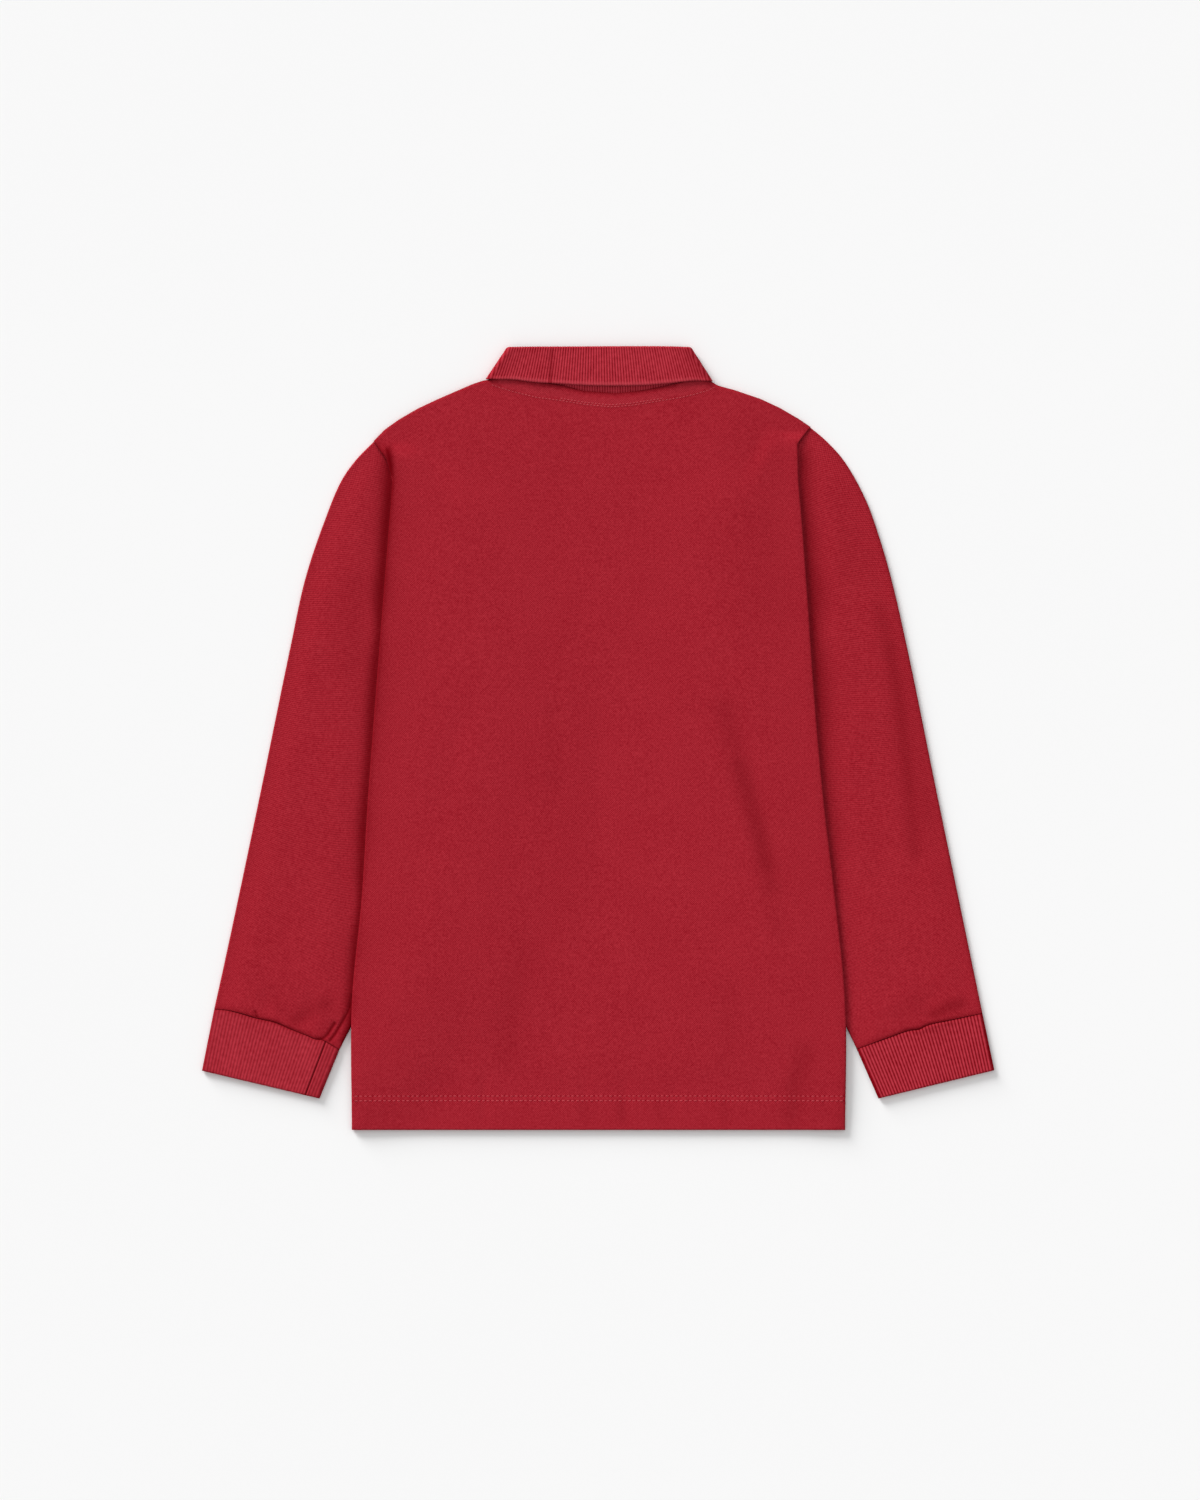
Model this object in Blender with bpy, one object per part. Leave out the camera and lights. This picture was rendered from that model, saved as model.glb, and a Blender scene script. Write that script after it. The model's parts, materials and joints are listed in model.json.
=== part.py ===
"""A child's long-sleeved polo shirt in pique knit, laid flat with its back up.

X runs across the garment, Y towards the collar and Z up from the surface it lies on.
Sizes are in millimetres and become metres when a mesh is made. The sleeves are turned
down and tucked under the sides of the body, so the body rides over them. The front
panel, the placket, its buttons and the two wings of the collar lie underneath.
"""

import math
from bisect import bisect_right
from collections import namedtuple

import bmesh
import bpy
from mathutils import Vector

MM = 0.001

# Walls of cloth, and the air between two layers that lie on each other
CLOTH = 1.2
RIB_CLOTH = 1.8
CUFF_CLOTH = 1.6
PLACKET_CLOTH = 1.6
SEAM_GAP = 0.3
LAYER_AIR = 0.5
PUFF = 0.8
FOLD_RADIUS = 1.2

# Heights of the layers
SLEEVE_HEIGHT = 2 * CLOTH + LAYER_AIR
OVER_SLEEVE = SLEEVE_HEIGHT + SEAM_GAP
OVER_WING = RIB_CLOTH + SEAM_GAP
COLLAR_AIR = 0.9

# Ways in which the body comes down beside what carries it
SHELF = 17.0
RAMP = 18.0

Place = namedtuple("Place", "x y")
Side = namedtuple("Side", "y left right")
Fold = namedtuple("Fold", "x0 y0 x1 y1 bend width depth")
Button = namedtuple("Button", "name x y")

# Side edges of the body, from the hem up to where the armhole seams come out from under it
HEM_Y = -305.2
BODY_SIDES = [
    Side(y=HEM_Y, left=-192.7, right=191.9),
    Side(y=-204.0, left=-192.5, right=191.3),
    Side(y=-126.0, left=-185.6, right=183.3),
    Side(y=-48.0, left=-181.0, right=173.8),
    Side(y=30.0, left=-175.5, right=166.9),
    Side(y=108.0, left=-169.3, right=161.5),
    Side(y=170.0, left=-164.4, right=156.6),
    Side(y=201.6, left=-162.2, right=153.7),
]

# The shoulders and the back of the neck, from the left armhole seam to the right one
SHOULDERS = [
    Place(-175.3, 231.9),
    Place(-166.9, 240.6),
    Place(-156.0, 248.4),
    Place(-141.2, 257.0),
    Place(-126.4, 264.0),
    Place(-110.0, 271.1),
    Place(-98.3, 275.6),
    Place(-90.0, 278.0),
    Place(-79.6, 280.8),
    Place(-54.0, 279.4),
    Place(-28.0, 275.2),
    Place(-12.0, 270.8),
    Place(14.0, 269.0),
    Place(33.0, 271.1),
    Place(53.0, 275.0),
    Place(81.1, 282.0),
    Place(87.4, 278.1),
    Place(92.5, 275.0),
    Place(105.3, 270.8),
    Place(124.8, 264.0),
    Place(139.6, 257.0),
    Place(154.4, 248.4),
    Place(163.8, 242.2),
]
NECK_LEFT = -79.6
NECK_RIGHT = 81.1
NECK_MIDDLE = (NECK_LEFT + NECK_RIGHT) / 2

# The left half of the neckline at the front, from the shoulder to the middle
FRONT_NECK = [
    Place(-79.6, 280.6),
    Place(-74.0, 254.0),
    Place(-64.0, 238.0),
    Place(-50.0, 226.0),
    Place(-32.0, 218.5),
    Place(-13.8, 215.2),
    Place(NECK_MIDDLE, 214.6),
]

# Each sleeve: its outer edge down from the shoulder, its open end at the armhole, and
# its underarm edge, most of which is tucked under the body
SLEEVES = {
    "left": {
        "outer": [
            Place(-175.5, 231.6),
            Place(-189.5, 217.2),
            Place(-200.5, 201.6),
            Place(-213.7, 170.4),
            Place(-229.3, 123.6),
            Place(-239.5, 76.8),
            Place(-265.2, -48.0),
            Place(-290.9, -172.8),
            Place(-298.0, -211.4),
        ],
        "armhole": [
            Place(-175.5, 231.6),
            Place(-169.7, 223.7),
            Place(-165.7, 218.5),
            Place(-158.0, 207.0),
            Place(-146.0, 178.0),
            Place(-129.0, 128.0),
            Place(-112.0, 76.0),
        ],
        "underarm": [
            Place(-112.0, 76.0),
            Place(-116.0, 15.0),
            Place(-129.0, -40.0),
            Place(-148.0, -110.0),
            Place(-191.9, -219.6),
            Place(-203.6, -243.0),
        ],
        "cuff_seam": [
            Place(-298.0, -211.4),
            Place(-283.1, -212.4),
            Place(-258.2, -220.3),
            Place(-233.2, -228.2),
            Place(-203.6, -243.0),
        ],
        "cuff_hem": [Place(-308.1, -260.1), Place(-218.4, -280.4)],
    },
    "right": {
        "outer": [
            Place(164.0, 241.9),
            Place(174.7, 232.8),
            Place(188.8, 217.2),
            Place(206.7, 186.0),
            Place(218.4, 154.8),
            Place(227.8, 123.6),
            Place(238.7, 76.8),
            Place(264.4, -48.0),
            Place(290.2, -172.8),
            Place(298.0, -214.5),
        ],
        "armhole": [
            Place(164.0, 241.9),
            Place(157.9, 234.9),
            Place(154.2, 229.6),
            Place(150.5, 219.0),
            Place(142.0, 190.0),
            Place(126.0, 135.0),
            Place(111.0, 80.0),
        ],
        "underarm": [
            Place(111.0, 80.0),
            Place(115.0, 15.0),
            Place(128.0, -40.0),
            Place(146.0, -110.0),
            Place(191.0, -219.0),
            Place(202.0, -241.4),
        ],
        "cuff_seam": [
            Place(298.0, -214.5),
            Place(273.8, -219.4),
            Place(248.8, -225.8),
            Place(223.9, -233.6),
            Place(202.0, -241.4),
        ],
        "cuff_hem": [Place(308.1, -260.1), Place(218.4, -280.4)],
    },
}
# The armhole seam lies level with the sleeve at the shoulder and this far down is over it
SEAM_DIVES = {"left": (236.5, 223.0), "right": (247.0, 234.0)}

# The collar folds over at its top. Lines across the back, left to right
COLLAR_FOLD = [
    Place(-71.0, 303.8),
    Place(-62.0, 304.4),
    Place(-15.0, 305.0),
    Place(30.0, 305.2),
    Place(62.0, 304.5),
    Place(71.0, 303.8),
]
COLLAR_EDGE = [
    Place(-86.6, 279.6),
    Place(-69.4, 279.4),
    Place(-53.8, 277.6),
    Place(-30.4, 276.2),
    Place(-7.0, 274.9),
    Place(32.0, 274.9),
    Place(55.4, 276.4),
    Place(78.8, 278.6),
    Place(88.1, 278.2),
]
# The same lines on the wearer's left wing, from the side to the middle of the front
WING_FOLD = [
    Place(-71.0, 303.8),
    Place(-62.0, 270.0),
    Place(-38.0, 245.0),
    Place(0.3, 234.0),
]
WING_EDGE = [
    Place(-86.6, 279.6),
    Place(-76.0, 240.0),
    Place(-59.0, 207.0),
    Place(-38.0, 188.0),
]
COLLAR_RIBS = 84
CUFF_RIBS = 38
RIB_DEPTH = 0.4
PLAIN_EDGE = 2.4

PLACKET_WIDTH = 28.6
PLACKET_LIFT_FOOT = 126.0
BUTTON_RADIUS = 5.6
BUTTON_HEIGHT = 1.8
BUTTONS = [
    Button("button_top", 0.8, 203.0),
    Button("button_bottom", 0.5, 140.0),
]

# Soft folds pressed into the cloth: a line from one end to the other, bowed sideways
BODY_FOLDS = [
    Fold(x0=102, y0=15, x1=135, y1=-112, bend=5, width=9, depth=0.7),
    Fold(x0=-101, y0=20, x1=-134, y1=-105, bend=-4, width=10, depth=0.3),
    Fold(x0=-85, y0=-234, x1=-90, y1=-292, bend=0, width=9, depth=0.3),
    Fold(x0=154, y0=-200, x1=158, y1=-292, bend=3, width=9, depth=0.35),
]
SLEEVE_FOLDS = [
    Fold(x0=222, y0=105, x1=251, y1=-98, bend=-3, width=8, depth=0.5),
    Fold(x0=-214, y0=-234, x1=-206, y1=-222, bend=0, width=6, depth=0.5),
    Fold(x0=-262, y0=-216, x1=-256, y1=-196, bend=0, width=7, depth=0.4),
    Fold(x0=-233, y0=-226, x1=-222, y1=-200, bend=0, width=7, depth=0.4),
    Fold(x0=255, y0=-222, x1=262, y1=-196, bend=0, width=8, depth=0.4),
]

PIQUE_RED = (0.355, 0.018, 0.027)
RIB_RED = (0.385, 0.022, 0.035)
BUTTON_RED = (0.30, 0.02, 0.03)


# Curves and places


def smooth(share):
    share = min(max(share, 0.0), 1.0)
    return share * share * (3 - 2 * share)


def through(points):
    """A smooth curve through the points, as a function of the share of its length."""
    spots = [Vector(point) for point in points]
    lengths = [(b - a).length for a, b in zip(spots, spots[1:])]
    knots = [sum(lengths[:i]) / sum(lengths) for i in range(len(spots))]
    steps = [(b - a) / (k - j) for a, b, j, k in zip(spots, spots[1:], knots, knots[1:])]
    slopes = [steps[0]] + [(a + b) / 2 for a, b in zip(steps, steps[1:])] + [steps[-1]]

    def at(share):
        i = min(max(bisect_right(knots, share) - 1, 0), len(steps) - 1)
        span = knots[i + 1] - knots[i]
        t = (share - knots[i]) / span
        start = spots[i] * (2 * t**3 - 3 * t**2 + 1) + slopes[i] * span * (t**3 - 2 * t**2 + t)
        end = spots[i + 1] * (3 * t**2 - 2 * t**3) + slopes[i + 1] * span * (t**3 - t**2)
        return start + end

    return at


def straight(points, x):
    """The height at x of the line that joins the points."""
    i = min(max(bisect_right([p.x for p in points], x) - 1, 0), len(points) - 2)
    a, b = points[i], points[i + 1]
    return a.y + (b.y - a.y) * (x - a.x) / (b.x - a.x)


def patch(bottom, top, left, right):
    """A sheet between four edges, each a function of a share from 0 to 1."""

    def place(across, along):
        sides = left(along).lerp(right(along), across)
        ends = bottom(across).lerp(top(across), along)
        low = bottom(0).lerp(bottom(1), across)
        high = top(0).lerp(top(1), across)
        return sides + ends - low.lerp(high, along)

    return place


def beyond(outline, x, y):
    """How far a place is outside an outline, and nothing if it is within."""
    spot = Vector((x, y))
    nearest = math.inf
    within = False
    for a, b in zip(outline, outline[1:] + outline[:1]):
        edge = b - a
        share = min(max((spot - a).dot(edge) / edge.length_squared, 0), 1)
        nearest = min(nearest, (spot - a - edge * share).length)
        if (a.y > y) != (b.y > y) and x < a.x + (y - a.y) * edge.x / edge.y:
            within = not within
    return 0.0 if within else nearest


def carried(outline, x, y):
    """1 over what an outline holds, down to 0 where the cloth beside it is on the surface."""
    return 1 - smooth((beyond(outline, x, y) - SHELF) / RAMP)


def folded(folds, x, y):
    """How deep the soft folds are at a place."""
    deep = 0.0
    for fold in folds:
        start = Vector((fold.x0, fold.y0))
        run = Vector((fold.x1, fold.y1)) - start
        step = Vector((x, y)) - start
        share = step.dot(run) / run.length_squared
        if -0.3 < share < 1.3:
            aside = run.cross(step) / run.length - fold.bend * 4 * share * (1 - share)
            fade = smooth((share + 0.3) / 0.6) * smooth((1.3 - share) / 0.6)
            deep += fold.depth * fade * math.exp(-((aside / fold.width) ** 2))
    return deep


def edge_at(y, side):
    """X of the body's side edge at a height."""
    rows = [Place(row.y, getattr(row, side)) for row in BODY_SIDES]
    return straight(rows, y)


def sleeve_outline(side):
    edges = SLEEVES[side]
    armhole = through(edges["armhole"])
    underarm = through(edges["underarm"])
    outer = through(edges["outer"])
    shares = [i / 14 for i in range(14)]
    down = [armhole(t) for t in shares] + [underarm(t) for t in shares]
    return down + [underarm(1), outer(1)] + [outer(1 - t) for t in shares[1:]]


SLEEVE_OUTLINES = {side: sleeve_outline(side) for side in SLEEVES}
MIRROR = 2 * NECK_MIDDLE
WING_OUTLINE = [Vector(point) for point in WING_EDGE]
WING_OUTLINE += [Vector((MIRROR - point.x, point.y)) for point in reversed(WING_EDGE)]
WING_OUTLINE += [Vector((MIRROR - COLLAR_FOLD[0].x, COLLAR_FOLD[0].y)), Vector(COLLAR_FOLD[0])]
PLACKET_OUTLINE = [
    Vector((NECK_MIDDLE + way * PLACKET_WIDTH / 2, y))
    for way, y in ((-1, PLACKET_LIFT_FOOT), (1, PLACKET_LIFT_FOOT), (1, 240.0), (-1, 240.0))
]


# Heights of the layers over a place


def front_under(x, y):
    """The underside of the front panel: on the surface, or on what lies beneath it."""
    side = "left" if x < 0 else "right"
    high, low = SEAM_DIVES[side]
    over_sleeve = OVER_SLEEVE * smooth((high - y) / (high - low))
    over_sleeve *= carried(SLEEVE_OUTLINES[side], x, y)
    over_collar = max(carried(WING_OUTLINE, x, y), carried(PLACKET_OUTLINE, x, y))
    return max(over_sleeve, OVER_WING * over_collar)


def body_air(x, y):
    """Air between the front panel and the back panel."""
    inside = min(x - edge_at(y, "left"), edge_at(y, "right") - x, y - HEM_Y)
    puffed = PUFF * smooth(inside / 60)
    return LAYER_AIR + max(puffed, (COLLAR_AIR - LAYER_AIR) * carried(WING_OUTLINE, x, y))


def back_under(x, y):
    pressed = min(folded(BODY_FOLDS, x, y), PUFF)
    return front_under(x, y) + CLOTH + body_air(x, y) - pressed * smooth(body_air(x, y) / 2)


def rounded(inside):
    """How far a folded edge has fallen away at a distance inside it."""
    share = min(max(inside / FOLD_RADIUS, 0.0), 1.0)
    return 0.75 * CLOTH * (1 - math.sqrt(1 - (1 - share) ** 2))


def sleeve_top(side, x, y, outside_in):
    """The upper face of a sleeve, pressed flat where the body lies on it."""
    bare = (edge_at(y, side) - x) * (1 if side == "left" else -1)
    puffed = PUFF * smooth((bare - 3) / 26) * smooth(outside_in / 24)
    return SLEEVE_HEIGHT + puffed - min(folded(SLEEVE_FOLDS, x, y), 0.7 * puffed + 0.25)


# Meshes


def material(name, colour, roughness):
    made = bpy.data.materials.new(name)
    made.use_nodes = True
    shader = made.node_tree.nodes["Principled BSDF"]
    shader.inputs["Base Color"].default_value = (*colour, 1)
    shader.inputs["Roughness"].default_value = roughness
    shader.inputs["Metallic"].default_value = 0
    made.diffuse_color = (*colour, 1)
    return made


def add_object(name, mesh_data, finish, sharp_from=50):
    """Turns a bmesh into an object whose faces point out, in metres."""
    bmesh.ops.scale(mesh_data, vec=(MM, MM, MM), verts=mesh_data.verts)
    bmesh.ops.recalc_face_normals(mesh_data, faces=mesh_data.faces)
    mesh = bpy.data.meshes.new(name)
    mesh_data.to_mesh(mesh)
    mesh_data.free()
    mesh.shade_smooth()
    mesh.set_sharp_from_angle(angle=math.radians(sharp_from))
    mesh.materials.append(finish)
    made = bpy.data.objects.new(name, mesh)
    bpy.context.scene.collection.objects.link(made)
    return made


def slab(name, across, along, lower, upper, finish, keep=None):
    """A sheet of cloth: a grid at the shares across and along, and its upper face extruded."""
    sheet = bmesh.new()
    columns, rows = len(across) - 1, len(along) - 1
    bmesh.ops.create_grid(sheet, x_segments=columns, y_segments=rows, size=1)
    for vertex in sheet.verts:
        column = round((vertex.co.x + 1) / 2 * columns)
        row = round((vertex.co.y + 1) / 2 * rows)
        vertex.co = (across[column], along[row], 0)
    if keep:
        cut = [face for face in sheet.faces if not keep(*face.calc_center_median().xy)]
        bmesh.ops.delete(sheet, geom=cut, context="FACES")
    raised = bmesh.ops.extrude_face_region(sheet, geom=sheet.faces[:])["geom"]
    top = {element for element in raised if isinstance(element, bmesh.types.BMVert)}
    for vertex in sheet.verts:
        vertex.co = (upper if vertex in top else lower)(vertex.co.x, vertex.co.y)
    return add_object(name, sheet, finish)


def skin(mesh_data, first, second, first_shares, second_shares):
    """Faces between two rows of vertices, which may have different numbers of them."""
    i = j = 0
    last_i, last_j = len(first) - 1, len(second) - 1
    while i < last_i or j < last_j:
        step_i = i < last_i and (j == last_j or first_shares[i + 1] <= second_shares[j + 1])
        step_j = j < last_j and (i == last_i or second_shares[j + 1] <= first_shares[i + 1])
        corners = [first[i], first[i + step_i], second[j + step_j], second[j]]
        mesh_data.faces.new(dict.fromkeys(corners))
        i, j = i + step_i, j + step_j


def wall(name, outer, inner, outer_shares, inner_shares, closed, finish):
    """A wall between an outer and an inner face, each given as rows of points.

    The rows are rings round a tube if closed is set, and otherwise strips with two ends.
    """
    cloth = bmesh.new()
    faces = [[[cloth.verts.new(point) for point in row] for row in face] for face in (outer, inner)]
    shares = [list(outer_shares), list(inner_shares)]
    if closed:
        faces = [[row + row[:1] for row in face] for face in faces]
        shares = [row + [math.inf] for row in shares]
    for face, row_shares in zip(faces, shares):
        for row, above in zip(face, face[1:]):
            skin(cloth, row, above, row_shares, row_shares)
    for end in (0, -1):
        skin(cloth, faces[0][end], faces[1][end], *shares)
        if not closed:
            edges = [[row[end] for row in face] for face in faces]
            skin(cloth, *edges, range(len(outer)), range(len(inner)))
    return add_object(name, cloth, finish)


# The two panels of the body


def across_top(share):
    """X along the shoulders: the middle of the sheet is the middle of the neck."""
    left, right = SHOULDERS[0].x, SHOULDERS[-1].x
    straight_x = left + (right - left) * share
    return straight_x + 4 * share * (1 - share) * (NECK_MIDDLE - (left + right) / 2)


def share_at(x):
    """The share across the sheet at which its top edge reaches x."""
    low, high = 0.0, 1.0
    for _ in range(40):
        middle = (low + high) / 2
        low, high = (middle, high) if across_top(middle) < x else (low, middle)
    return low


def body_patch(top_height):
    def bottom(share):
        first = BODY_SIDES[0]
        return Vector((first.left + (first.right - first.left) * share, first.y))

    def top(share):
        x = across_top(share)
        return Vector((x, top_height(x)))

    edges = []
    for side, tip in (("left", SHOULDERS[0]), ("right", SHOULDERS[-1])):
        seam = [Place(p.x, p.y) for p in SLEEVES[side]["armhole"][1:3]]
        way = SEAM_GAP if side == "left" else -SEAM_GAP
        seam = [Place(p.x + way, p.y + SEAM_GAP) for p in reversed(seam)]
        rows = [Place(getattr(row, side), row.y) for row in BODY_SIDES]
        edges.append(body_edge(rows, seam + [tip]))
    return patch(bottom, top, *edges)


SEAM_FROM = 0.955


def body_edge(rows, seam):
    """A side edge of the body: up the side, then along the seam of the armhole."""
    side = through(rows)
    seam_line = [rows[-1]] + seam

    def at(share):
        if share <= SEAM_FROM:
            return side(share / SEAM_FROM)
        steps = (share - SEAM_FROM) / (1 - SEAM_FROM) * (len(seam_line) - 1)
        i = min(int(steps + 1e-6), len(seam_line) - 2)
        return Vector(seam_line[i]).lerp(Vector(seam_line[i + 1]), steps - i)

    return at


def back_height(x):
    return straight(SHOULDERS, x)


def front_height(x):
    """The top edge of the front panel: the shoulders, with the deeper neckline cut in."""
    if NECK_LEFT < x < NECK_RIGHT:
        return straight(FRONT_NECK, x if x < NECK_MIDDLE else MIRROR - x)
    return back_height(x)


BACK_PLACE = body_patch(back_height)
FRONT_PLACE = body_patch(front_height)


def inside_edge(place, across, along):
    """Distance from a point of a sheet to its nearer side edge or shoulder."""
    spot = place(across, along)
    sideways = min((spot - place(0, along)).length, (spot - place(1, along)).length)
    down = (spot - place(across, 1)).length
    on_shoulder = not NECK_LEFT < across_top(across) < NECK_RIGHT
    return min(sideways, down) if on_shoulder else sideways


def side_columns(inner):
    """Shares across a sheet: close together at the folded edges, and the given ones between."""
    edge = [0.0, 0.0035, 0.02]
    return edge + inner + [1 - share for share in reversed(edge)]


# Rows up a panel: the turned hem, even steps up the sides, and steps up the armhole seams
ROWS = [0.0, 0.043, 0.053] + [SEAM_FROM * i / 18 for i in range(2, 19)]
ROWS += [SEAM_FROM + (1 - SEAM_FROM) * share for share in (0.333, 0.667, 0.94, 1.0)]
PLACKET_ROW = 15


def hem_turn(along):
    """The turned-up hem doubles the cloth: thicker up to its two rows of stitches."""
    return 0.35 * (1 - smooth((along - 0.043) / 0.01))


def make_back(finish):
    def lower(across, along):
        x, y = BACK_PLACE(across, along)
        return x, y, back_under(x, y)

    def upper(across, along):
        x, y, z = lower(across, along)
        z += CLOTH + hem_turn(along) - rounded(inside_edge(BACK_PLACE, across, along))
        return x, y, z

    columns = side_columns([0.045 + 0.91 * i / 24 for i in range(25)])
    return slab("back_panel", columns, ROWS, lower, upper, finish)


def placket_shares():
    """Shares across the front panel of the placket's two long edges."""
    half = PLACKET_WIDTH / 2
    return share_at(NECK_MIDDLE - half), share_at(NECK_MIDDLE + half)


def make_front(finish):
    left, right = placket_shares()

    def lower(across, along):
        x, y = FRONT_PLACE(across, along)
        return x, y, front_under(x, y) + rounded(inside_edge(FRONT_PLACE, across, along))

    def upper(across, along):
        x, y = FRONT_PLACE(across, along)
        return x, y, front_under(x, y) + CLOTH

    def keep(across, along):
        return not (left < across < right and along > ROWS[PLACKET_ROW])

    neck = [share_at(p.x) for p in FRONT_NECK[:-2]]
    neck += [left, share_at(NECK_MIDDLE), right]
    neck += [share_at(MIRROR - p.x) for p in reversed(FRONT_NECK[:-2])]
    sides = [0.05 + 0.042 * i for i in range(6)]
    columns = side_columns(sides + neck + [1 - share for share in reversed(sides)])
    return slab("front_panel", columns, ROWS, lower, upper, finish, keep)


def make_placket(finish):
    """The strip that fills the slit in the front panel, from the panel's own rows."""
    left, right = placket_shares()
    inset = SEAM_GAP / PLACKET_WIDTH * (right - left)
    start = ROWS[PLACKET_ROW] + SEAM_GAP / (FRONT_NECK[-1].y - HEM_Y)
    across = [left + inset, share_at(NECK_MIDDLE), right - inset]

    def lower(share, up):
        x, y = FRONT_PLACE(share, up)
        return x, y, front_under(x, y)

    def upper(share, up):
        x, y, z = lower(share, up)
        return x, y, z + PLACKET_CLOTH

    return slab("placket", across, [start] + ROWS[PLACKET_ROW + 1 :], lower, upper, finish)


# The sleeves and cuffs, tubes that lie flat


def tube_round(top_columns, bottom_columns, corner_steps=2):
    """Places round a flattened tube: share across, edge radii in from that share, height share."""
    top = [(share, 0.0, 1.0) for share in top_columns]
    bottom = [(share, 0.0, 0.0) for share in reversed(bottom_columns)]
    turn = [math.pi * i / (2 * corner_steps) for i in range(2 * corner_steps + 1)]
    corner = [(1 - math.sin(angle), (1 + math.cos(angle)) / 2) for angle in turn]
    far = [(1.0, radii, height) for radii, height in corner]
    near = [(0.0, radii, height) for radii, height in reversed(corner)]
    return top + far + bottom + near


def round_shares(places):
    """How far round each place of tube_round is: 0 to 1 over the top, 1 to 2 underneath."""
    shares = []
    for share, _, height in places:
        if share == 1.0:
            shares.append(1.01 - 0.02 * height)
        elif share == 0.0:
            shares.append(1.98 + 0.01 * height)
        else:
            shares.append(share if height > 0.5 else 2 - share)
    return shares


def tube(name, place, rows, outer, inner, cloth, finish):
    """A flat tube on the surface. Each face is its places round the tube and its height."""
    faces = []
    for (places, height_at), inset in ((outer, 0.0), (inner, cloth)):
        face = []
        for along in rows:
            width = (place(1, along) - place(0, along)).length
            ring = []
            for share, radii, height in places:
                full = height_at(place(share, along), share, share * width)
                radius = (full - 2 * inset) / 2
                least = (inset + radius * (radii if share in (0.0, 1.0) else 1)) / width
                spot = place(least + share * (1 - 2 * least), along)
                ring.append((spot.x, spot.y, inset + height * (full - 2 * inset)))
            face.append(ring)
        faces.append(face)
    shares = [round_shares(places) for places, _ in (outer, inner)]
    return wall(name, *faces, *shares, True, finish)


def sleeve_place(side):
    """The sheet of a sleeve: across from its outer edge, and down from its armhole."""
    edges = SLEEVES[side]
    ends = through(edges["armhole"]), through(edges["cuff_seam"])
    return patch(*ends, through(edges["outer"]), through(edges["underarm"]))


def make_sleeve(side, finish):
    def height_at(spot, share, from_edge):
        return sleeve_top(side, spot.x, spot.y, from_edge)

    columns = [0.05 + 0.9 * i / 10 for i in range(11)]
    face = tube_round(columns, columns), height_at
    rows = [i / 14 for i in range(15)]
    return tube(f"sleeve_{side}", sleeve_place(side), rows, face, face, CLOTH, finish)


def cuff_place(side):
    """The sheet of a cuff: across from its outer edge, and down from its seam to its hem."""
    edges = SLEEVES[side]
    sleeve_end, hem = through(edges["cuff_seam"]), through(edges["cuff_hem"])
    away = (hem(0.5) - sleeve_end(0.5)).normalized() * SEAM_GAP

    def seam(share):
        return sleeve_end(share) + away

    def edge(share):
        return lambda along: seam(share).lerp(hem(share), along)

    return patch(seam, hem, edge(0), edge(1))


def make_cuff(side, finish):
    """A cuff whose ribs stand up in its outer points over a plain inside."""
    full = 2 * CUFF_CLOTH + LAYER_AIR
    columns = 2 * CUFF_RIBS
    ribbed = [(i + 0.5) / columns for i in range(columns)]
    plain = [0.1, 0.3, 0.5, 0.7, 0.9]

    def plain_height(spot, share, from_edge):
        return full

    def ribbed_height(spot, share, from_edge):
        in_trough = 0 < share < 1 and int(share * columns) % 2
        return full - RIB_DEPTH * in_trough

    outer = tube_round(ribbed, plain), ribbed_height
    inner = tube_round(plain, plain), plain_height
    rows = [0.0, 0.5, 1.0]
    return tube(f"cuff_{side}", cuff_place(side), rows, outer, inner, CUFF_CLOTH, finish)


# The collar, one band of rib folded over along its top


Station = namedtuple("Station", "neck fold edge turn rib")
Row = namedtuple("Row", "part share ribbed")
WING_SHARES = [1 - i / 8 for i in range(9)]
SIDE_TURNS = [-60, -30, 0, 30, 60]
ROLL_MIDDLE = RIB_CLOTH / 2 + SEAM_GAP / 2
LOOP_RADIUS = 2 * ROLL_MIDDLE
COLLAR_RADIUS = LOOP_RADIUS + ROLL_MIDDLE + RIB_CLOTH / 2
NECK_GAP = 0.5


def collar_lines(fold, edge, neck):
    """The three lines of one half of the collar, each moved in at the sides by its fold."""
    fold_line, edge_line = through(fold), through(edge)

    def at(share, inset_start, inset_end):
        lines = []
        for line in (neck, fold_line, edge_line):
            spot = line(share).copy()
            spot.x += inset_start * (1 - share) - inset_end * share
            lines.append(spot)
        return lines

    return at


def back_neck(share):
    x = NECK_LEFT + (NECK_RIGHT - NECK_LEFT) * share
    return Vector((x, back_height(x) + NECK_GAP))


def wing_neck(share):
    if share == 0:
        return back_neck(0)
    x = NECK_LEFT + (NECK_MIDDLE - NECK_GAP - NECK_LEFT) * share
    inward = min(x + COLLAR_RADIUS * (1 - share), NECK_MIDDLE)
    return Vector((x, straight(FRONT_NECK, inward) + NECK_GAP))


def mirrored(spot):
    return Vector((MIRROR - spot.x, spot.y))


def collar_stations(back_columns):
    """Stations round the collar: along the left wing, over the back and along the right wing."""
    back = collar_lines(COLLAR_FOLD, COLLAR_EDGE, back_neck)
    wing = collar_lines(WING_FOLD, WING_EDGE, wing_neck)
    inset = COLLAR_RADIUS
    wings = [wing(share, inset, 0) for share in WING_SHARES]
    stations = [Station(*lines, turn=-90, rib=0) for lines in wings]
    stations += [Station(*back(0, inset, inset), turn=turn, rib=0) for turn in SIDE_TURNS]
    stations += [Station(*back(share, inset, inset), turn=90, rib=rib) for share, rib in back_columns]
    stations += [Station(*back(1, inset, inset), turn=180 - turn, rib=0) for turn in reversed(SIDE_TURNS)]
    for lines in reversed(wings):
        stations.append(Station(*[mirrored(spot) for spot in lines], turn=270, rib=0))
    return stations


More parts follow.
